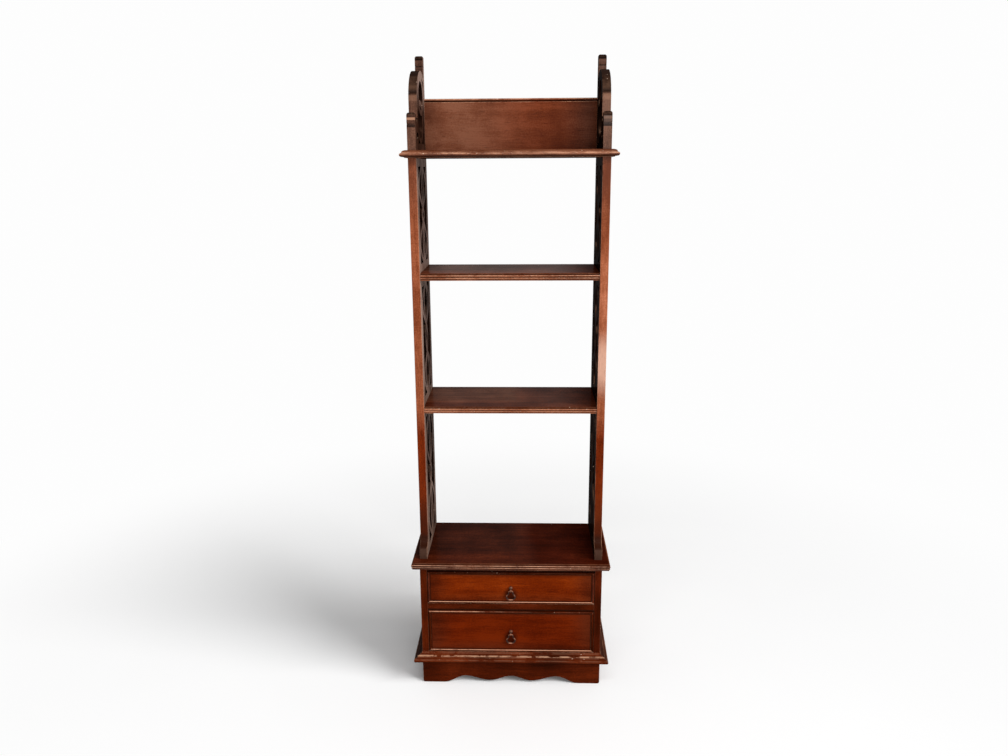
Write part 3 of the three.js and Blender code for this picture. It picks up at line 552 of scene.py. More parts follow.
# %% [markdown]
# The edge of each shelf is moulded. The fillet along its top is dark. The beads below it take the
# rubbed pale colour, which is partly lost stain and partly a painted highlight, and there the polish
# is thickest. The fillet is measured down from the top of the shelf's own box.

# %% Mix the finishes of the shelf edges
SHELF_EDGE = ((96, 46, 24), (138, 78, 50), (174, 112, 82))
BASE_EDGE = ((64, 28, 15), (92, 48, 29), (130, 78, 54))
FILLET_SHADE = from_screen(62, 24, 9)
FILLET_HEIGHT, FILLET_SOFT = 0.0036, 0.001
shelf_edges = {
    "base_top": (1, BASE_EDGE, 0.5, 0.75),
    "shelf_lower": (31, SHELF_EDGE, 0.9, 0.55),
    "shelf_upper": (41, SHELF_EDGE, 0.75, 1.0),
    "shelf_top": (51, BASE_EDGE, 0.4, 0.75),
}


def shelf_edge(node_name, seed, colors, fillet_share, crest_wear_and_highlight):
    wood = Wood(f"{node_name}_edge_mahogany", GRAIN_X, seed)
    fillet_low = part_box(node_name)[1].z - FILLET_HEIGHT
    fillet = wood.step(wood.axis("Z"), fillet_low - FILLET_SOFT, fillet_low)
    color = wood.mix(fillet * fillet_share, wood.colored(colors), FILLET_SHADE)
    bare = 1 - fillet * 0.9
    return wood.dress(color, SATIN, bare * MOULDING_COAT, WEAR_AND_HIGHLIGHT_PALE, bare * crest_wear_and_highlight)


for node_name, (seed, colors, fillet_share, crest_wear_and_highlight) in shelf_edges.items():
    finishes[f"{node_name}_edge"] = shelf_edge(node_name, seed, colors, fillet_share, crest_wear_and_highlight)
print("finishes so far", len(finishes))

# %% [markdown]
# The front edges of the side boards are painted by height. From the lower shelf upwards they are
# painted a lighter orange brown, a painted light and sheen from above, which is darker again near
# the top. Below the lower shelf they are a deep red, painted darker downwards as a painted shade,
# and the foot is a dull grey brown under a dark cove. One finish blends these by height. The right
# edge has a pale stretch in the middle bay, a painted sheen.

# %% Mix the finish of the post edges
DEEP_RED = ((74, 20, 2), (108, 36, 6), (136, 54, 17))
LIT_ORANGE_BROWN = ((112, 52, 26), (150, 82, 52), (190, 118, 86))
NEAR_TOP_BROWN = ((98, 48, 28), (130, 72, 48), (162, 100, 74))
FOOT_DARK = from_screen(50, 20, 9)
FOOT_SHADE = from_screen(74, 51, 41)
COVE_SHADE = from_screen(46, 22, 13)
PAINTED_SHEEN = from_screen(212, 168, 146)
HEIGHT_RAGGED = 0.08
FADE_BELOW_SHELF, FADE_ABOVE_SHELF = 0.06, 0.02
DARK_FULL_RISE, DARK_RISE = 0.06, 0.19
BROWN_BELOW_TOP, BROWN_FULL_BELOW_TOP = 0.16, 0.04
FOOT_HEIGHT, COVE_HEIGHT = 0.025, 0.016
COVE_SOFT_BELOW, COVE_SOFT_ABOVE = 0.004, 0.012
FOOT_SOFT_BELOW, FOOT_SOFT_ABOVE = 0.003, 0.001
PALE_ABOVE_SHELF, PALE_REACH, PALE_DEPTH_SHARE = 0.104, 0.082, 0.12


def post_edge():
    wood = Wood("post_edge_mahogany", GRAIN_Z, 11)
    low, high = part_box("fret_side_right")
    shelf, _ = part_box("shelf_lower")
    height = wood.axis("Z")
    uneven = wood.ragged(height, HEIGHT_RAGGED)
    near_foot = 1 - wood.step(uneven, low.z + DARK_FULL_RISE, low.z + DARK_RISE)
    # Painted shade: the deep red is painted darker towards the foot.
    deep = wood.mix(near_foot * 0.75, wood.colored(DEEP_RED), FOOT_DARK)
    above = wood.step(uneven, shelf.z - FADE_BELOW_SHELF, shelf.z + FADE_ABOVE_SHELF)
    near_top = wood.step(uneven, high.z - BROWN_BELOW_TOP, high.z - BROWN_FULL_BELOW_TOP)
    # Painted light and sheen: from the lower shelf upwards the edge is painted lighter.
    color = wood.mix(above, deep, wood.colored(LIT_ORANGE_BROWN))
    color = wood.mix(near_top, color, wood.colored(NEAR_TOP_BROWN))
    foot_top = low.z + FOOT_HEIGHT
    cove_top = foot_top + COVE_HEIGHT
    in_cove = 1 - wood.step(height, cove_top - COVE_SOFT_BELOW, cove_top + COVE_SOFT_ABOVE)
    color = wood.mix(in_cove * 0.9, color, COVE_SHADE)
    in_foot = 1 - wood.step(height, foot_top - FOOT_SOFT_BELOW, foot_top + FOOT_SOFT_ABOVE)
    color = wood.mix(in_foot * 0.85, color, FOOT_SHADE)
    # Painted sheen: a pale patch on the right edge in the middle bay.
    depth = low.y + (high.y - low.y) * PALE_DEPTH_SHARE
    away = wood.distance_from(Vector((high.x, depth, shelf.z + PALE_ABOVE_SHELF)))
    bright_patch = 1 - wood.step(away, PALE_REACH * 0.25, PALE_REACH)
    color = wood.mix(bright_patch * (0.35 + wood.cloud * 0.7), color, PAINTED_SHEEN)
    return wood.dress(color, SATIN, COAT * (0.4 + above * 0.6), WEAR_AND_HIGHLIGHT_PALE, 0.0, 0.4)


finishes["post"] = post_edge()
print("finishes so far", len(finishes))

# %% [markdown]
# The inner faces of the left boards are painted lighter and greyer the higher they are, a painted
# light and sheen from the window. Each face blends two sets of colours between two heights.

# %% Mix the finish of the left inner faces
LEFT_LIT = ((74, 52, 43), (108, 84, 74), (142, 117, 105))
LEFT_SHADED = ((56, 37, 29), (84, 63, 54), (114, 92, 81))
LEFT_DARK = ((36, 19, 12), (56, 34, 25), (80, 55, 45))
FACE_RAGGED = 0.06
FRET_LIT_ABOVE_FOOT, FRET_LIT_BELOW_TOP = 0.1, 0.15
ARCH_LIT_START, ARCH_LIT_FULL = 0.06, 0.12


def left_face(name, seed, lower, upper, start, end):
    wood = Wood(name, GRAIN_Z, seed)
    # Painted light and sheen: the face is painted lighter the higher it is.
    rise = wood.step(wood.ragged(wood.axis("Z"), FACE_RAGGED), start, end)
    color = wood.mix(rise, wood.colored(lower), wood.colored(upper))
    return wood.dress(color, SATIN, THIN_COAT, WEAR_AND_HIGHLIGHT_PALE, 0.2)


low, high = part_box("fret_side_left")
start, end = low.z + FRET_LIT_ABOVE_FOOT, high.z - FRET_LIT_BELOW_TOP
finishes["face_left"] = left_face("left_face_mahogany", 4, LEFT_SHADED, LEFT_LIT, start, end)
low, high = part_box("gable_left")
start, end = low.z + ARCH_LIT_START, low.z + ARCH_LIT_FULL
finishes["arch_left"] = left_face("left_arch_mahogany", 64, LEFT_DARK, LEFT_LIT, start, end)
print("finishes so far", len(finishes))

# %% [markdown]
# The gables on the top shelf have dull brown edges, a little darker on the right gable. The crown
# of each arch, the caps of the ears and the faces that look up are painted dark, a painted shade,
# and have less shine. A band on the front ears is painted pale, a painted highlight, clear on the
# left and faint on the right, whose head is greyer. A faint painted glint crosses each arch below
# its crown, and a painted shadow line marks the foot of each ear's head. The heights are measured
# from the foot and the top of the gable's own box.

# %% Mix the finish of the gable edges
GABLE_BROWN = ((66, 41, 31), (92, 60, 46), (124, 86, 68))
CROWN_SHADE = from_screen(26, 14, 9)
HEAD_GREY = from_screen(84, 70, 64)
EAR_RISE, EAR_DEPTH, EAR_CAP = 0.069, 0.0175, 0.0085
REAR_CAP = 0.0085
EAR_BAND_BELOW_TOP, EAR_LINE_BELOW_TOP, EAR_BAND_HEIGHT = 0.0135, 0.0265, 0.0035
ARCH_SHADE_RISE, ARCH_SHADE_SOFT = 0.108, 0.008
ARCH_GLINT_RISE, ARCH_GLINT_HEIGHT, ARCH_GLINT_SOFT = 0.094, 0.007, 0.004
MASK_SOFT = 0.001
MIDDLE_GAP = 0.01


def gable_edge():
    wood = Wood("gable_edge_mahogany", GRAIN_Z, 90)
    low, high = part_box("gable_left")
    height = wood.axis("Z")
    depth = wood.axis("Y")
    at_right = wood.step(wood.axis("X"), -MIDDLE_GAP, MIDDLE_GAP)
    ear_back, rear_front = low.y + EAR_DEPTH, high.y - EAR_DEPTH
    on_ear = 1 - wood.step(depth, ear_back, ear_back + MASK_SOFT)
    on_rear_ear = wood.step(depth, rear_front - MASK_SOFT, rear_front)
    ear_top, rear_cap_low = low.z + EAR_RISE, high.z - REAR_CAP
    ear_cap = wood.band(height, ear_top - EAR_CAP, ear_top) * on_ear
    rear_cap = wood.step(height, rear_cap_low - MASK_SOFT, rear_cap_low) * on_rear_ear
    # Painted shade: the crown of each arch and the caps of the ears are painted dark.
    arch_low = low.z + ARCH_SHADE_RISE
    arch = wood.step(height, arch_low - ARCH_SHADE_SOFT, arch_low) * (1 - on_rear_ear)
    capped_shade = wood.most(rear_cap, arch * 0.95)
    capped_shade = wood.most(capped_shade, ear_cap * (at_right * 0.4 + 0.5))
    # Painted shade: faces that look up are painted dark.
    faces_up = wood.step(wood.up, 0.08, 0.6)
    color = wood.mix(at_right * 0.2, wood.colored(GABLE_BROWN), CROWN_SHADE)
    color = wood.mix(wood.most(capped_shade, faces_up * 0.95), color, CROWN_SHADE)
    line_low, band_low = ear_top - EAR_LINE_BELOW_TOP, ear_top - EAR_BAND_BELOW_TOP
    head = wood.band(height, line_low, ear_top - EAR_CAP) * on_ear
    color = wood.mix(head * at_right * 0.7, color, HEAD_GREY)
    # Painted highlight: a pale band across the front ears, clear on the left and faint on the right.
    ear_highlight = wood.band(height, band_low, band_low + EAR_BAND_HEIGHT) * on_ear
    color = wood.mix(ear_highlight * (0.45 - at_right * 0.35), color, WEAR_AND_HIGHLIGHT_PALE)
    # Painted highlight: a faint glint across each arch.
    glint_low = low.z + ARCH_GLINT_RISE
    glint = wood.band(height, glint_low, glint_low + ARCH_GLINT_HEIGHT, ARCH_GLINT_SOFT)
    color = wood.mix(glint * (1 - on_ear) * 0.1, color, WEAR_AND_HIGHLIGHT_PALE)
    # Painted shadow: a dark line at the foot of each ear's head.
    line = wood.band(height, line_low, line_low + EAR_BAND_HEIGHT) * on_ear
    color = wood.mix(line * 0.85, color, CROWN_SHADE)
    dull = wood.most(capped_shade, faces_up)
    return wood.dress(color, SATIN, (1 - dull * 0.8) * COAT, WEAR_AND_HIGHLIGHT_PALE, 0.1, 0.15)


finishes["gable_edge"] = gable_edge()
print("finishes so far", len(finishes))

# %% [markdown]
# The board at the back of the gallery is mottled. It is greyer at its left than at its right, and
# its ends are painted darker, a painted shade of the gables, the right one more. The bead along its
# top takes the most of the rubbed pale colour, partly wear and partly a painted highlight.

# %% Mix the finish of the gallery
GREYER = ((92, 48, 30), (113, 63, 42), (132, 82, 60))
REDDER = ((88, 36, 16), (110, 49, 24), (130, 62, 35))
END_SHADE = ((48, 24, 16), (72, 38, 26), (100, 60, 44))
GALLERY_BLOTCH, GALLERY_RAGGED, GALLERY_COAT = 0.8, 0.12, 0.035


def gallery_board():
    low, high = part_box("gallery_back")
    wood = Wood("gallery_mahogany", GRAIN_X, 3)
    grey = wood.colored(GREYER, GALLERY_BLOTCH)
    red = wood.colored(REDDER, GALLERY_BLOTCH)
    across = wood.ragged(wood.axis("X"), GALLERY_RAGGED)
    color = wood.mix(wood.step(across, low.x * 0.5, high.x * 0.5), grey, red)
    left_end = (1 - wood.step(across, low.x, low.x * 0.72)) * 0.6
    right_end = wood.step(across, high.x * 0.5, high.x) * 0.7
    # Painted shade: the ends of the board are painted darker, the right one more.
    color = wood.mix(wood.most(left_end, right_end), color, wood.colored(END_SHADE))
    return wood.dress(color, SATIN, GALLERY_COAT, WEAR_AND_HIGHLIGHT_PALE, 1.0)


finishes["gallery"] = gallery_board()
print("finishes so far", len(finishes))

# %% [markdown]
# The drawer fronts are brightest in the middle. Towards their edges they are duller and browner,
# and the dull border is uneven. A painted shade line runs inside the bead, and the wood around the
# pull is painted darker, partly its painted shadow and partly the dirt of fingers. All of this is
# measured from the front's own box and from its pull, so each drawer has a finish of its own, and
# the lower one is painted darker, a painted shade.

# %% Mix the finish of the drawer fronts
UPPER_RED = ((76, 19, 1), (104, 32, 2), (130, 48, 7))
# Painted shade: the lower drawer takes darker colours than the upper one.
LOWER_RED = ((58, 12, 0), (81, 20, 1), (103, 31, 3))
DULL_RED = ((42, 12, 3), (62, 20, 6), (82, 33, 15))
PULL_SHADE_AND_DIRT = from_screen(38, 11, 3)
FRONT_BLOTCH = 0.4
FRONT_COAT = 0.02
END_BORDER, LONG_BORDER, LOW_BORDER = 0.065, 0.018, 0.03
PULL_DARK_START, PULL_DARK_REACH = 0.006, 0.02
BEAD_SHADE_LINE = 0.0028


def drawer_front(drawer, seed, colors):
    low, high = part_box(f"{drawer}_front")
    pull_low, pull_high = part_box(f"{drawer}_pull_bail")
    bead_low, bead_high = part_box(f"{drawer}_bead_top")
    bead_width = bead_high.z - bead_low.z
    half_height = (high.z - low.z) / 2
    wood = Wood(f"{drawer}_front_mahogany", GRAIN_X, seed)
    height = wood.axis("Z")
    across = wood.finish.math("ABSOLUTE", wood.axis("X"))
    up = wood.finish.math("ABSOLUTE", height - (low.z + high.z) / 2)
    near_end = wood.step(across, high.x - END_BORDER, high.x)
    near_edge = wood.step(up, half_height - LONG_BORDER, half_height)
    field_low = low.z + bead_width
    lower_third = 1 - wood.step(height, field_low, field_low + LOW_BORDER)
    border = wood.most(near_end, wood.most(near_edge, lower_third * 0.7))
    red = wood.colored(colors, FRONT_BLOTCH)
    color = wood.mix(border * (0.3 + wood.cloud * 0.9), red, wood.colored(DULL_RED))
    pull = (pull_low + pull_high) / 2
    from_pull = wood.distance_from((pull.x, low.y, pull.z))
    # Painted shadow and finger dirt: the wood around the pull is painted darker.
    near_pull = 1 - wood.step(from_pull, PULL_DARK_START, PULL_DARK_REACH)
    field_z, field_x = half_height - bead_width, high.x - bead_width
    # Painted shade: a dark line along the inside of the bead.
    along_bead = wood.step(up, field_z - BEAD_SHADE_LINE, field_z - BEAD_SHADE_LINE / 2)
    beside_bead = wood.step(across, field_x - BEAD_SHADE_LINE, field_x - BEAD_SHADE_LINE / 2)
    shade_and_dirt = wood.most(wood.most(along_bead, beside_bead) * 0.8, near_pull * 0.7)
    return wood.dress(wood.mix(shade_and_dirt, color, PULL_SHADE_AND_DIRT), SATIN, FRONT_COAT, WEAR_AND_HIGHLIGHT_PALE, 0.3)


finishes["drawer_upper_front"] = drawer_front("drawer_upper", 12, UPPER_RED)
finishes["drawer_lower_front"] = drawer_front("drawer_lower", 13, LOWER_RED)
print("finishes so far", len(finishes))

# %% [markdown]
# What the drawers and the case hide is a cheaper, pale wood that nobody polished. It has browned
# with age, and it is dull. The same recipe serves, with no coat and a rough surface.

# %% Mix the bare wood of the inside
BARE = ((104, 72, 44), (136, 98, 62), (158, 120, 80))
# The pale colour of the inside's rubbed crests, partly wear and partly a painted highlight.
BARE_WEAR_AND_HIGHLIGHT = from_screen(176, 140, 98)
BARE_DULL = 0.62
bare_look = {"gloss": BARE_DULL, "coat": 0.0, "wear_and_highlight_color": BARE_WEAR_AND_HIGHLIGHT, "crest_wear_and_highlight": 0.3}

for grain, letter in enumerate("xyz"):
    name = f"inside_wood_{letter}"
    finishes[f"inside_{letter}"] = plain_wood(name, grain, 14 + grain, BARE, **bare_look)
print("finishes so far", len(finishes))

# %% [markdown]
# The pulls are cast brass under a dark, reddish patina. Three places of the drop are brighter, its
# lowest curve, its two shoulders and its top, and less so the boss above it: partly rubbed by
# fingers and partly a painted highlight. All of these are broken patches on whatever faces up, and
# the casting left fine pits.

# %% Mix the aged brass
PATINA = from_screen(46, 22, 13)
BRIGHT_BRASS = from_screen(180, 122, 94)
CURVE_HEIGHT = 0.0042
SHOULDER_LOW, SHOULDER_HIGH = 0.0105, 0.014
DROP_TOP = 0.0035
BOSS_START, BOSS_FULL = 0.001, 0.003
BRASS_SOFT = 0.001
TOUCH_SCALE, PIT_SCALE = 160, 1400
PIT_STRENGTH, PIT_DEPTH = 0.3, 0.0002


def aged_brass(drawer):
    finish = Finish(f"{drawer}_brass")
    coordinates = finish.node("ShaderNodeTexCoord")
    place = coordinates["Object"]
    up = finish.node("ShaderNodeSeparateXYZ", None, {"Vector": coordinates["Normal"]})["Z"]
    low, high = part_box(f"{drawer}_pull_bail")
    drop = high.z - low.z
    height = finish.node("ShaderNodeSeparateXYZ", None, {"Vector": place})["Z"] - low.z
    curve = 1 - soft_step(finish, height, CURVE_HEIGHT * 0.6, CURVE_HEIGHT)
    shoulder_top = soft_step(finish, height, SHOULDER_HIGH, SHOULDER_HIGH + BRASS_SOFT)
    shoulder = soft_step(finish, height, SHOULDER_LOW - BRASS_SOFT, SHOULDER_LOW) * (1 - shoulder_top)
    top = soft_step(finish, height, drop - DROP_TOP - BRASS_SOFT, drop - DROP_TOP)
    boss = soft_step(finish, height, drop + BOSS_START, drop + BOSS_FULL)
    # The bright places are partly rubbed by fingers and partly a painted highlight, stronger where the
    # brass faces up.
    bright_places = finish.math("MAXIMUM", shoulder * 0.6, top * (0.55 - boss * 0.3))
    bright_places = finish.math("MAXIMUM", curve, bright_places)
    broken = soft_step(finish, noise(finish, place, TOUCH_SCALE, 3, 0.6, 21), 0.25, 0.55)
    bright_patch = bright_places * (soft_step(finish, up, -0.1, 0.5) * 0.7 + 0.3) * broken
    pits = noise(finish, place, PIT_SCALE, 3, 0.6, 22)
    relief = {"Strength": PIT_STRENGTH, "Distance": PIT_DEPTH, "Height": pits}
    finish.surface(
        {
            "Base Color": mix(finish, bright_patch, PATINA, BRIGHT_BRASS),
            "Metallic": 0.7 + bright_patch * 0.25,
            "Roughness": 0.5 - bright_patch * 0.1 + pits * 0.1,
            "Normal": finish.node("ShaderNodeBump", None, relief)["Normal"],
        }
    )
    return finish.material


for drawer in ("drawer_upper", "drawer_lower"):
    finishes[f"{drawer}_brass"] = aged_brass(drawer)
print("finishes in all", len(finishes))

# %% [markdown]
# A real board has no knife edge: its arrises are eased by a plane and then by a century of
# hands, and the narrow rounded strip catches the light. The measured model keeps its edges
# sharp, so each board is copied, its loose triangles are merged, flat ones are joined, and the
# bevel operator rounds the outer edges. The new faces carry the attribute that the finish reads.
# The feet of the plinth have worn round at their outer corners, and the lower edges of the end
# aprons with them, which is a wider bevel.

# %% Ease the arrises of a board
MERGE_DISTANCE = 1e-6
FLAT_ANGLE = math.radians(0.5)
SHARP_ANGLE = math.radians(50)
SMOOTH_ANGLE = math.radians(40)
FACES_UP = 0.99
BOARD_EASE = 0.0008
FOOT_CORNER_RADIUS = 0.004
CORNER_REACH = 1e-4


def joined_copy(node_name):
    mesh = bmesh.new()
    mesh.from_mesh(frame["nodes"][node_name].data)
    bmesh.ops.remove_doubles(mesh, verts=mesh.verts, dist=MERGE_DISTANCE)
    bmesh.ops.dissolve_limit(mesh, angle_limit=FLAT_ANGLE, verts=mesh.verts, edges=mesh.edges)
    return mesh


def is_arris(edge):
    return edge.is_manifold and edge.calc_face_angle_signed() > SHARP_ANGLE


def ease_arrises(mesh, width, chosen=is_arris):
    arris = mesh.faces.layers.float.new("arris")
    edges = [edge for edge in mesh.edges if chosen(edge)]
    made = bmesh.ops.bevel(
        mesh,
        geom=edges,
        offset=width,
        offset_type="OFFSET",
        affect="EDGES",
        segments=2,
        profile=0.5,
        material=-1,
        clamp_overlap=True,
    )
    for face in made["faces"]:
        face[arris] = 1.0
    return len(edges)


def stand_for(mesh, node_name, finish_names):
    data = bpy.data.meshes.new(f"{node_name}_board")
    mesh.to_mesh(data)
    mesh.free()
    for finish_name in finish_names:
        data.materials.append(finishes[finish_name])
    data.shade_smooth()
    data.set_sharp_from_angle(angle=SMOOTH_ANGLE)
    piece = bpy.data.objects.new(f"{node_name}_board", data)
    bpy.context.scene.collection.objects.link(piece)
    weighted = piece.modifiers.new("flat_faces_lead", "WEIGHTED_NORMAL")
    weighted.keep_sharp = True
    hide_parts(node_name)
    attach(piece, frame["nodes"][node_name]["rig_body"])
    return piece


def round_lower_edge(mesh):
    outer = max(abs(vert.co.x) for vert in mesh.verts)
    top = max(vert.co.z for vert in mesh.verts)

    def outermost(edge):
        return all(abs(vert.co.x) > outer - CORNER_REACH for vert in edge.verts)

    def on_lower_edge(edge):
        lower = all(vert.co.z < top - CORNER_REACH for vert in edge.verts)
        first, second = (vert.co for vert in edge.verts)
        return outermost(edge) and lower and abs(first.y - second.y) > CORNER_REACH

    def at_foot_end(edge):
        return outermost(edge) and all(vert.co.z < CORNER_REACH for vert in edge.verts)

    is_side = all(vert.co.x > 0 for vert in mesh.verts) or all(vert.co.x < 0 for vert in mesh.verts)
    chosen = on_lower_edge if is_side else at_foot_end
    rounded = [edge for edge in mesh.edges if is_arris(edge) and chosen(edge)]
    bmesh.ops.bevel(
        mesh,
        geom=rounded,
        offset=FOOT_CORNER_RADIUS,
        offset_type="OFFSET",
        affect="EDGES",
        segments=4,
        profile=0.5,
        material=-1,
    )
    return len(rounded)


def plain_board(node_name, finish_name, width=BOARD_EASE, top_finish=None):
    mesh = joined_copy(node_name)
    if node_name.startswith("apron") and node_name != "apron_back":
        print(node_name, "rounded edges", round_lower_edge(mesh))
    count = ease_arrises(mesh, width)
    names = [finish_name]
    if top_finish:
        names.append(top_finish)
        for face in mesh.faces:
            face.material_index = int(face.normal.z > FACES_UP)
    piece = stand_for(mesh, node_name, names)
    print(node_name, "arrises", count, "faces", len(piece.data.polygons))


# %% [markdown]
# The shelves have dark tops and lighter edges, so the faces that look straight up take a second
# finish. The gallery's back board has one finish.

# %% Finish the shelves
for node_name in shelf_edges:
    plain_board(node_name, f"{node_name}_edge", top_finish=f"{node_name}_top")
plain_board("gallery_back", "gallery")

# %% [markdown]
# The case and the plinth are plain boards and mouldings, and the grain of each runs along it. The
# front length of the plinth moulding takes a wider bevel, because feet have worn it most.

# %% Finish the case
WORN_ARRIS = 0.0022
case_boards = {
    "rail_bottom": "case_x",
    "rail_middle": "rail_middle",
    "rail_top": "rail_top",
    "apron_front": "apron_x",
    "apron_left": "case_y",
    "apron_right": "case_y",
    "case_side_left": "stile_left",
    "case_side_right": "stile_right",
    "plinth_moulding_left": "torus_y",
    "plinth_moulding_right": "torus_y",
}
for node_name, finish_name in case_boards.items():
    plain_board(node_name, finish_name)
plain_board("plinth_moulding_front", "torus_x", WORN_ARRIS)

# %% [markdown]
# A drawer front is one board, and the bead around it is four thin strips of its own. Each strip
# takes the finish that its place has given it. A strip is only a few millimetres wide, so its
# arrises are eased less than those of a board.

# %% Finish the drawer fronts and their beads
BEAD_EASE = 0.0003
level_beads = {
    "drawer_upper_bead_top": "bead_dark",
    "drawer_upper_bead_bottom": "bead_bright",
    "drawer_lower_bead_top": "bead_fading",
    "drawer_lower_bead_bottom": "bead_bright",
}
for node_name, finish_name in level_beads.items():
    plain_board(node_name, finish_name, BEAD_EASE)
for drawer, upright in (("drawer_upper", "bead_upright"), ("drawer_lower", "bead_shaded")):
    plain_board(f"{drawer}_front", f"{drawer}_front")
    for side in ("left", "right"):
        plain_board(f"{drawer}_bead_{side}", upright, BEAD_EASE)

# %% [markdown]
# A pierced board has four finishes: an outer edge painted lighter above and darker below, a painted
# light and shade; an inner face painted greyer on one board and darker on the other, a painted light
# and shade; an outer face; and walls painted nearly black where the saw went through, partly painted
# shade and partly dirt. A wall of a piercing looks at the opposite wall of the same hole, so a ray
# from it meets the board again, and a ray from the outer edge meets nothing. The arrises along the
# outer edge are eased, and the fretwork stays crisp.

# %% Finish the pierced boards
POST, FACE_SIDE, CUT_WALL, FACE_OUTWARD = range(4)
BROAD_FACE = 0.5
RAY_START = 1e-4


def pierced_finish(face, board):
    middle = face.calc_center_median()
    if abs(face.normal.x) > BROAD_FACE:
        return FACE_OUTWARD if face.normal.x * middle.x > 0 else FACE_SIDE
    start = middle + face.normal * RAY_START
    return POST if board.ray_cast(start, face.normal)[0] is None else CUT_WALL


def pierced_board(node_name, edge_finish, face_finish):
    mesh = joined_copy(node_name)
    board = BVHTree.FromBMesh(mesh)
    kinds = {face: pierced_finish(face, board) for face in mesh.faces}
    for face, kind in kinds.items():
        face.material_index = kind

    def on_outline(edge):
        around = {face.material_index for face in edge.link_faces}
        return is_arris(edge) and around in ({POST, FACE_SIDE}, {POST, FACE_OUTWARD})

    count = ease_arrises(mesh, BOARD_EASE, on_outline)
    piece = stand_for(mesh, node_name, [edge_finish, face_finish, "cut", "face_outer"])
    print(node_name, "arrises", count, "faces", len(piece.data.polygons))


for side, arch_face in (("left", "arch_left"), ("right", "face_right")):
    pierced_board(f"fret_side_{side}", "post", f"face_{side}")
    pierced_board(f"gable_{side}", "gable_edge", arch_face)

# %% [markdown]
# The inner pieces are seen only when a drawer is open or from below. They keep their measured
# shape and take the bare wood.

# %% Finish the inner pieces
INNER_EASE = 0.0005
blocks = [f"corner_block_{end}" for end in ("front", "rear")]
inner = {
    "inside_x": ["case_back", "case_bottom", "apron_back"],
    "inside_y": ["runner_left", "runner_right", "kicker_left", "kicker_right"],
    "inside_z": [f"{block}_{side}" for block in blocks for side in ("left", "right")],
}
for drawer in ("drawer_upper", "drawer_lower"):
    stops = [f"{drawer}_stop_left", f"{drawer}_stop_right"]
    inner["inside_x"] += [f"{drawer}_back", f"{drawer}_bottom", *stops]
    inner["inside_y"] += [f"{drawer}_side_left", f"{drawer}_side_right"]
for finish_name, node_names in inner.items():
    for node_name in node_names:
        plain_board(node_name, finish_name, INNER_EASE)

# %% [markdown]
# The pulls hang from a domed boss. Their measured shape is right, so the nodes stay and take the
# brass.

# %% Finish the pulls
for drawer in ("drawer_upper", "drawer_lower"):
    for part in ("boss", "nut", "bail"):
        node = frame["nodes"][f"{drawer}_pull_{part}"]
        node.data.materials.clear()
        node.data.materials.append(finishes[f"{drawer}_brass"])
        print(node.name, "faces", len(node.data.polygons))

# %% [markdown]
# The floor is a wide, pale, matt plane that takes the soft shadow. Around the object it is lit as
# anything else is, with a little white added. Further out it turns into the white of the world, so
# no horizon shows. Both whites are there only for the camera and for what mirrors or lets light
# through, so they put no light on the object.

# %% Lay the floor
FLOOR_SIZE = 60
FLOOR_GLOW = 0.03
FADE_START = 0.55
FADE_END = 1.7
BACKGROUND_WHITE = 0.985
FLOOR_DULL = from_screen(251, 251, 251)
FLOOR_BRIGHT = from_screen(254, 254, 254)


def seen_directly(tree):
    path = tree.node("ShaderNodeLightPath")
    seen = tree.math("MAXIMUM", path["Is Camera Ray"], path["Is Glossy Ray"])
    return tree.math("MAXIMUM", seen, path["Is Transmission Ray"])


def pale_floor():
    finish = Finish("pale_floor")
    place = finish.node("ShaderNodeTexCoord")["Object"]
    mottle = noise(finish, place, 3, 2, 0.5, 31)
    color = mix(finish, mottle, FLOOR_DULL, FLOOR_BRIGHT)
    finish.surface({"Base Color": color, "Roughness": 0.9, "Specular IOR Level": 0.0})
    white = finish.node("ShaderNodeEmission", None, {"Strength": BACKGROUND_WHITE})["Emission"]
    away = finish.node("ShaderNodeVectorMath", {"operation": "LENGTH"}, {0: place})["Value"]
    share = soft_step(finish, away, FADE_START, FADE_END) * (1 - FLOOR_GLOW) + FLOOR_GLOW
    lit = Wire(finish, finish.shader.outputs["BSDF"])
    parts = {"Fac": seen_directly(finish) * share, 1: lit, 2: white}
    blended = finish.node("ShaderNodeMixShader", None, parts)["Shader"]
    finish.connect(blended, finish.output.inputs["Surface"])
    return finish.material


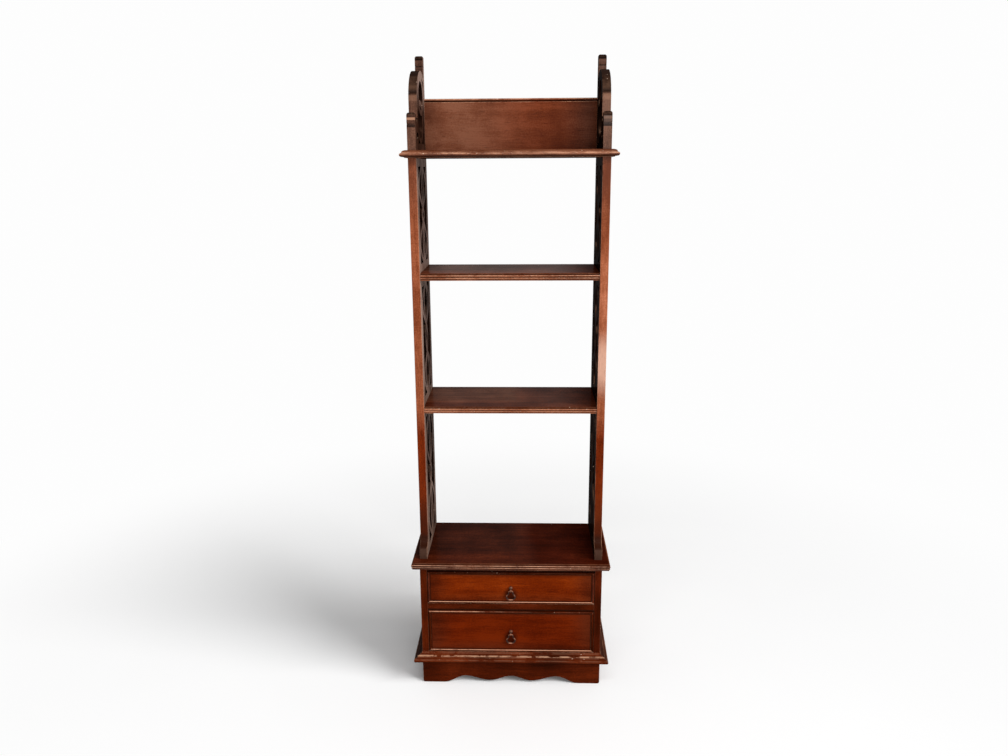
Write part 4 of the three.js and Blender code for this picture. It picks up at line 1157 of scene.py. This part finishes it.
mesh = bmesh.new()
bmesh.ops.create_grid(mesh, x_segments=8, y_segments=8, size=FLOOR_SIZE / 2)
data = bpy.data.meshes.new("floor")
mesh.to_mesh(data)
mesh.free()
data.materials.append(pale_floor())
floor = bpy.data.objects.new("floor", data)
bpy.context.scene.collection.objects.link(floor)
print("floor, m", FLOOR_SIZE)

# %% [markdown]
# A studio wraps its subject in soft light from all sides. The world gives that light evenly, and
# the camera sees a white background in its place.

# %% Light the world
AMBIENT = 0.27

world = bpy.data.worlds.new("studio")
bpy.context.scene.world = world
world.use_nodes = True
world.node_tree.nodes.clear()
studio = Tree(world.node_tree)
ambient = studio.node("ShaderNodeBackground", None, {"Color": (1, 1, 1, 1), "Strength": AMBIENT})
white = studio.node("ShaderNodeBackground", None, {"Color": (1, 1, 1, 1), "Strength": BACKGROUND_WHITE})
parts = {"Fac": seen_directly(studio), 1: ambient["Background"], 2: white["Background"]}
sky = studio.node("ShaderNodeMixShader", None, parts)["Shader"]
studio.node("ShaderNodeOutputWorld", None, {"Surface": sky})
print("ambient light", AMBIENT)

# %% [markdown]
# The light comes from the right and a little from the front, as from a wide window. A sun lamp
# with a very wide disc lights the whole floor evenly and gives the long soft shadow to the left.
# A long strip light above the front, and a large soft box further out, give the shelves and the
# upper boards their sheen.


# %% Set the lamps
def lamp(name, kind, place, target, energy, **settings):
    light = bpy.data.lights.new(name, kind)
    light.energy = energy
    for setting, value in settings.items():
        setattr(light, setting, value)
    made = bpy.data.objects.new(name, light)
    bpy.context.scene.collection.objects.link(made)
    made.location = place
    aim = Vector(target) - Vector(place)
    made.rotation_euler = aim.to_track_quat("-Z", "Y").to_euler()
    print(name, "energy", energy)


WINDOW_DISC = math.radians(36)
strip = {"shape": "RECTANGLE", "size": 2.4, "size_y": 0.2}
soft_box = {"shape": "RECTANGLE", "size": 2.0, "size_y": 1.4}
lamp("window", "SUN", (3.0, -1.42, 2.0), (0, 0, 0), 3.3, angle=WINDOW_DISC)
lamp("strip_light", "AREA", (0.2, -1.5, 2.7), (0, 0, 0.6), 16, **strip)
lamp("front_soft_box", "AREA", (0.5, -3.2, 1.6), (0, 0, 0.9), 22, **soft_box)
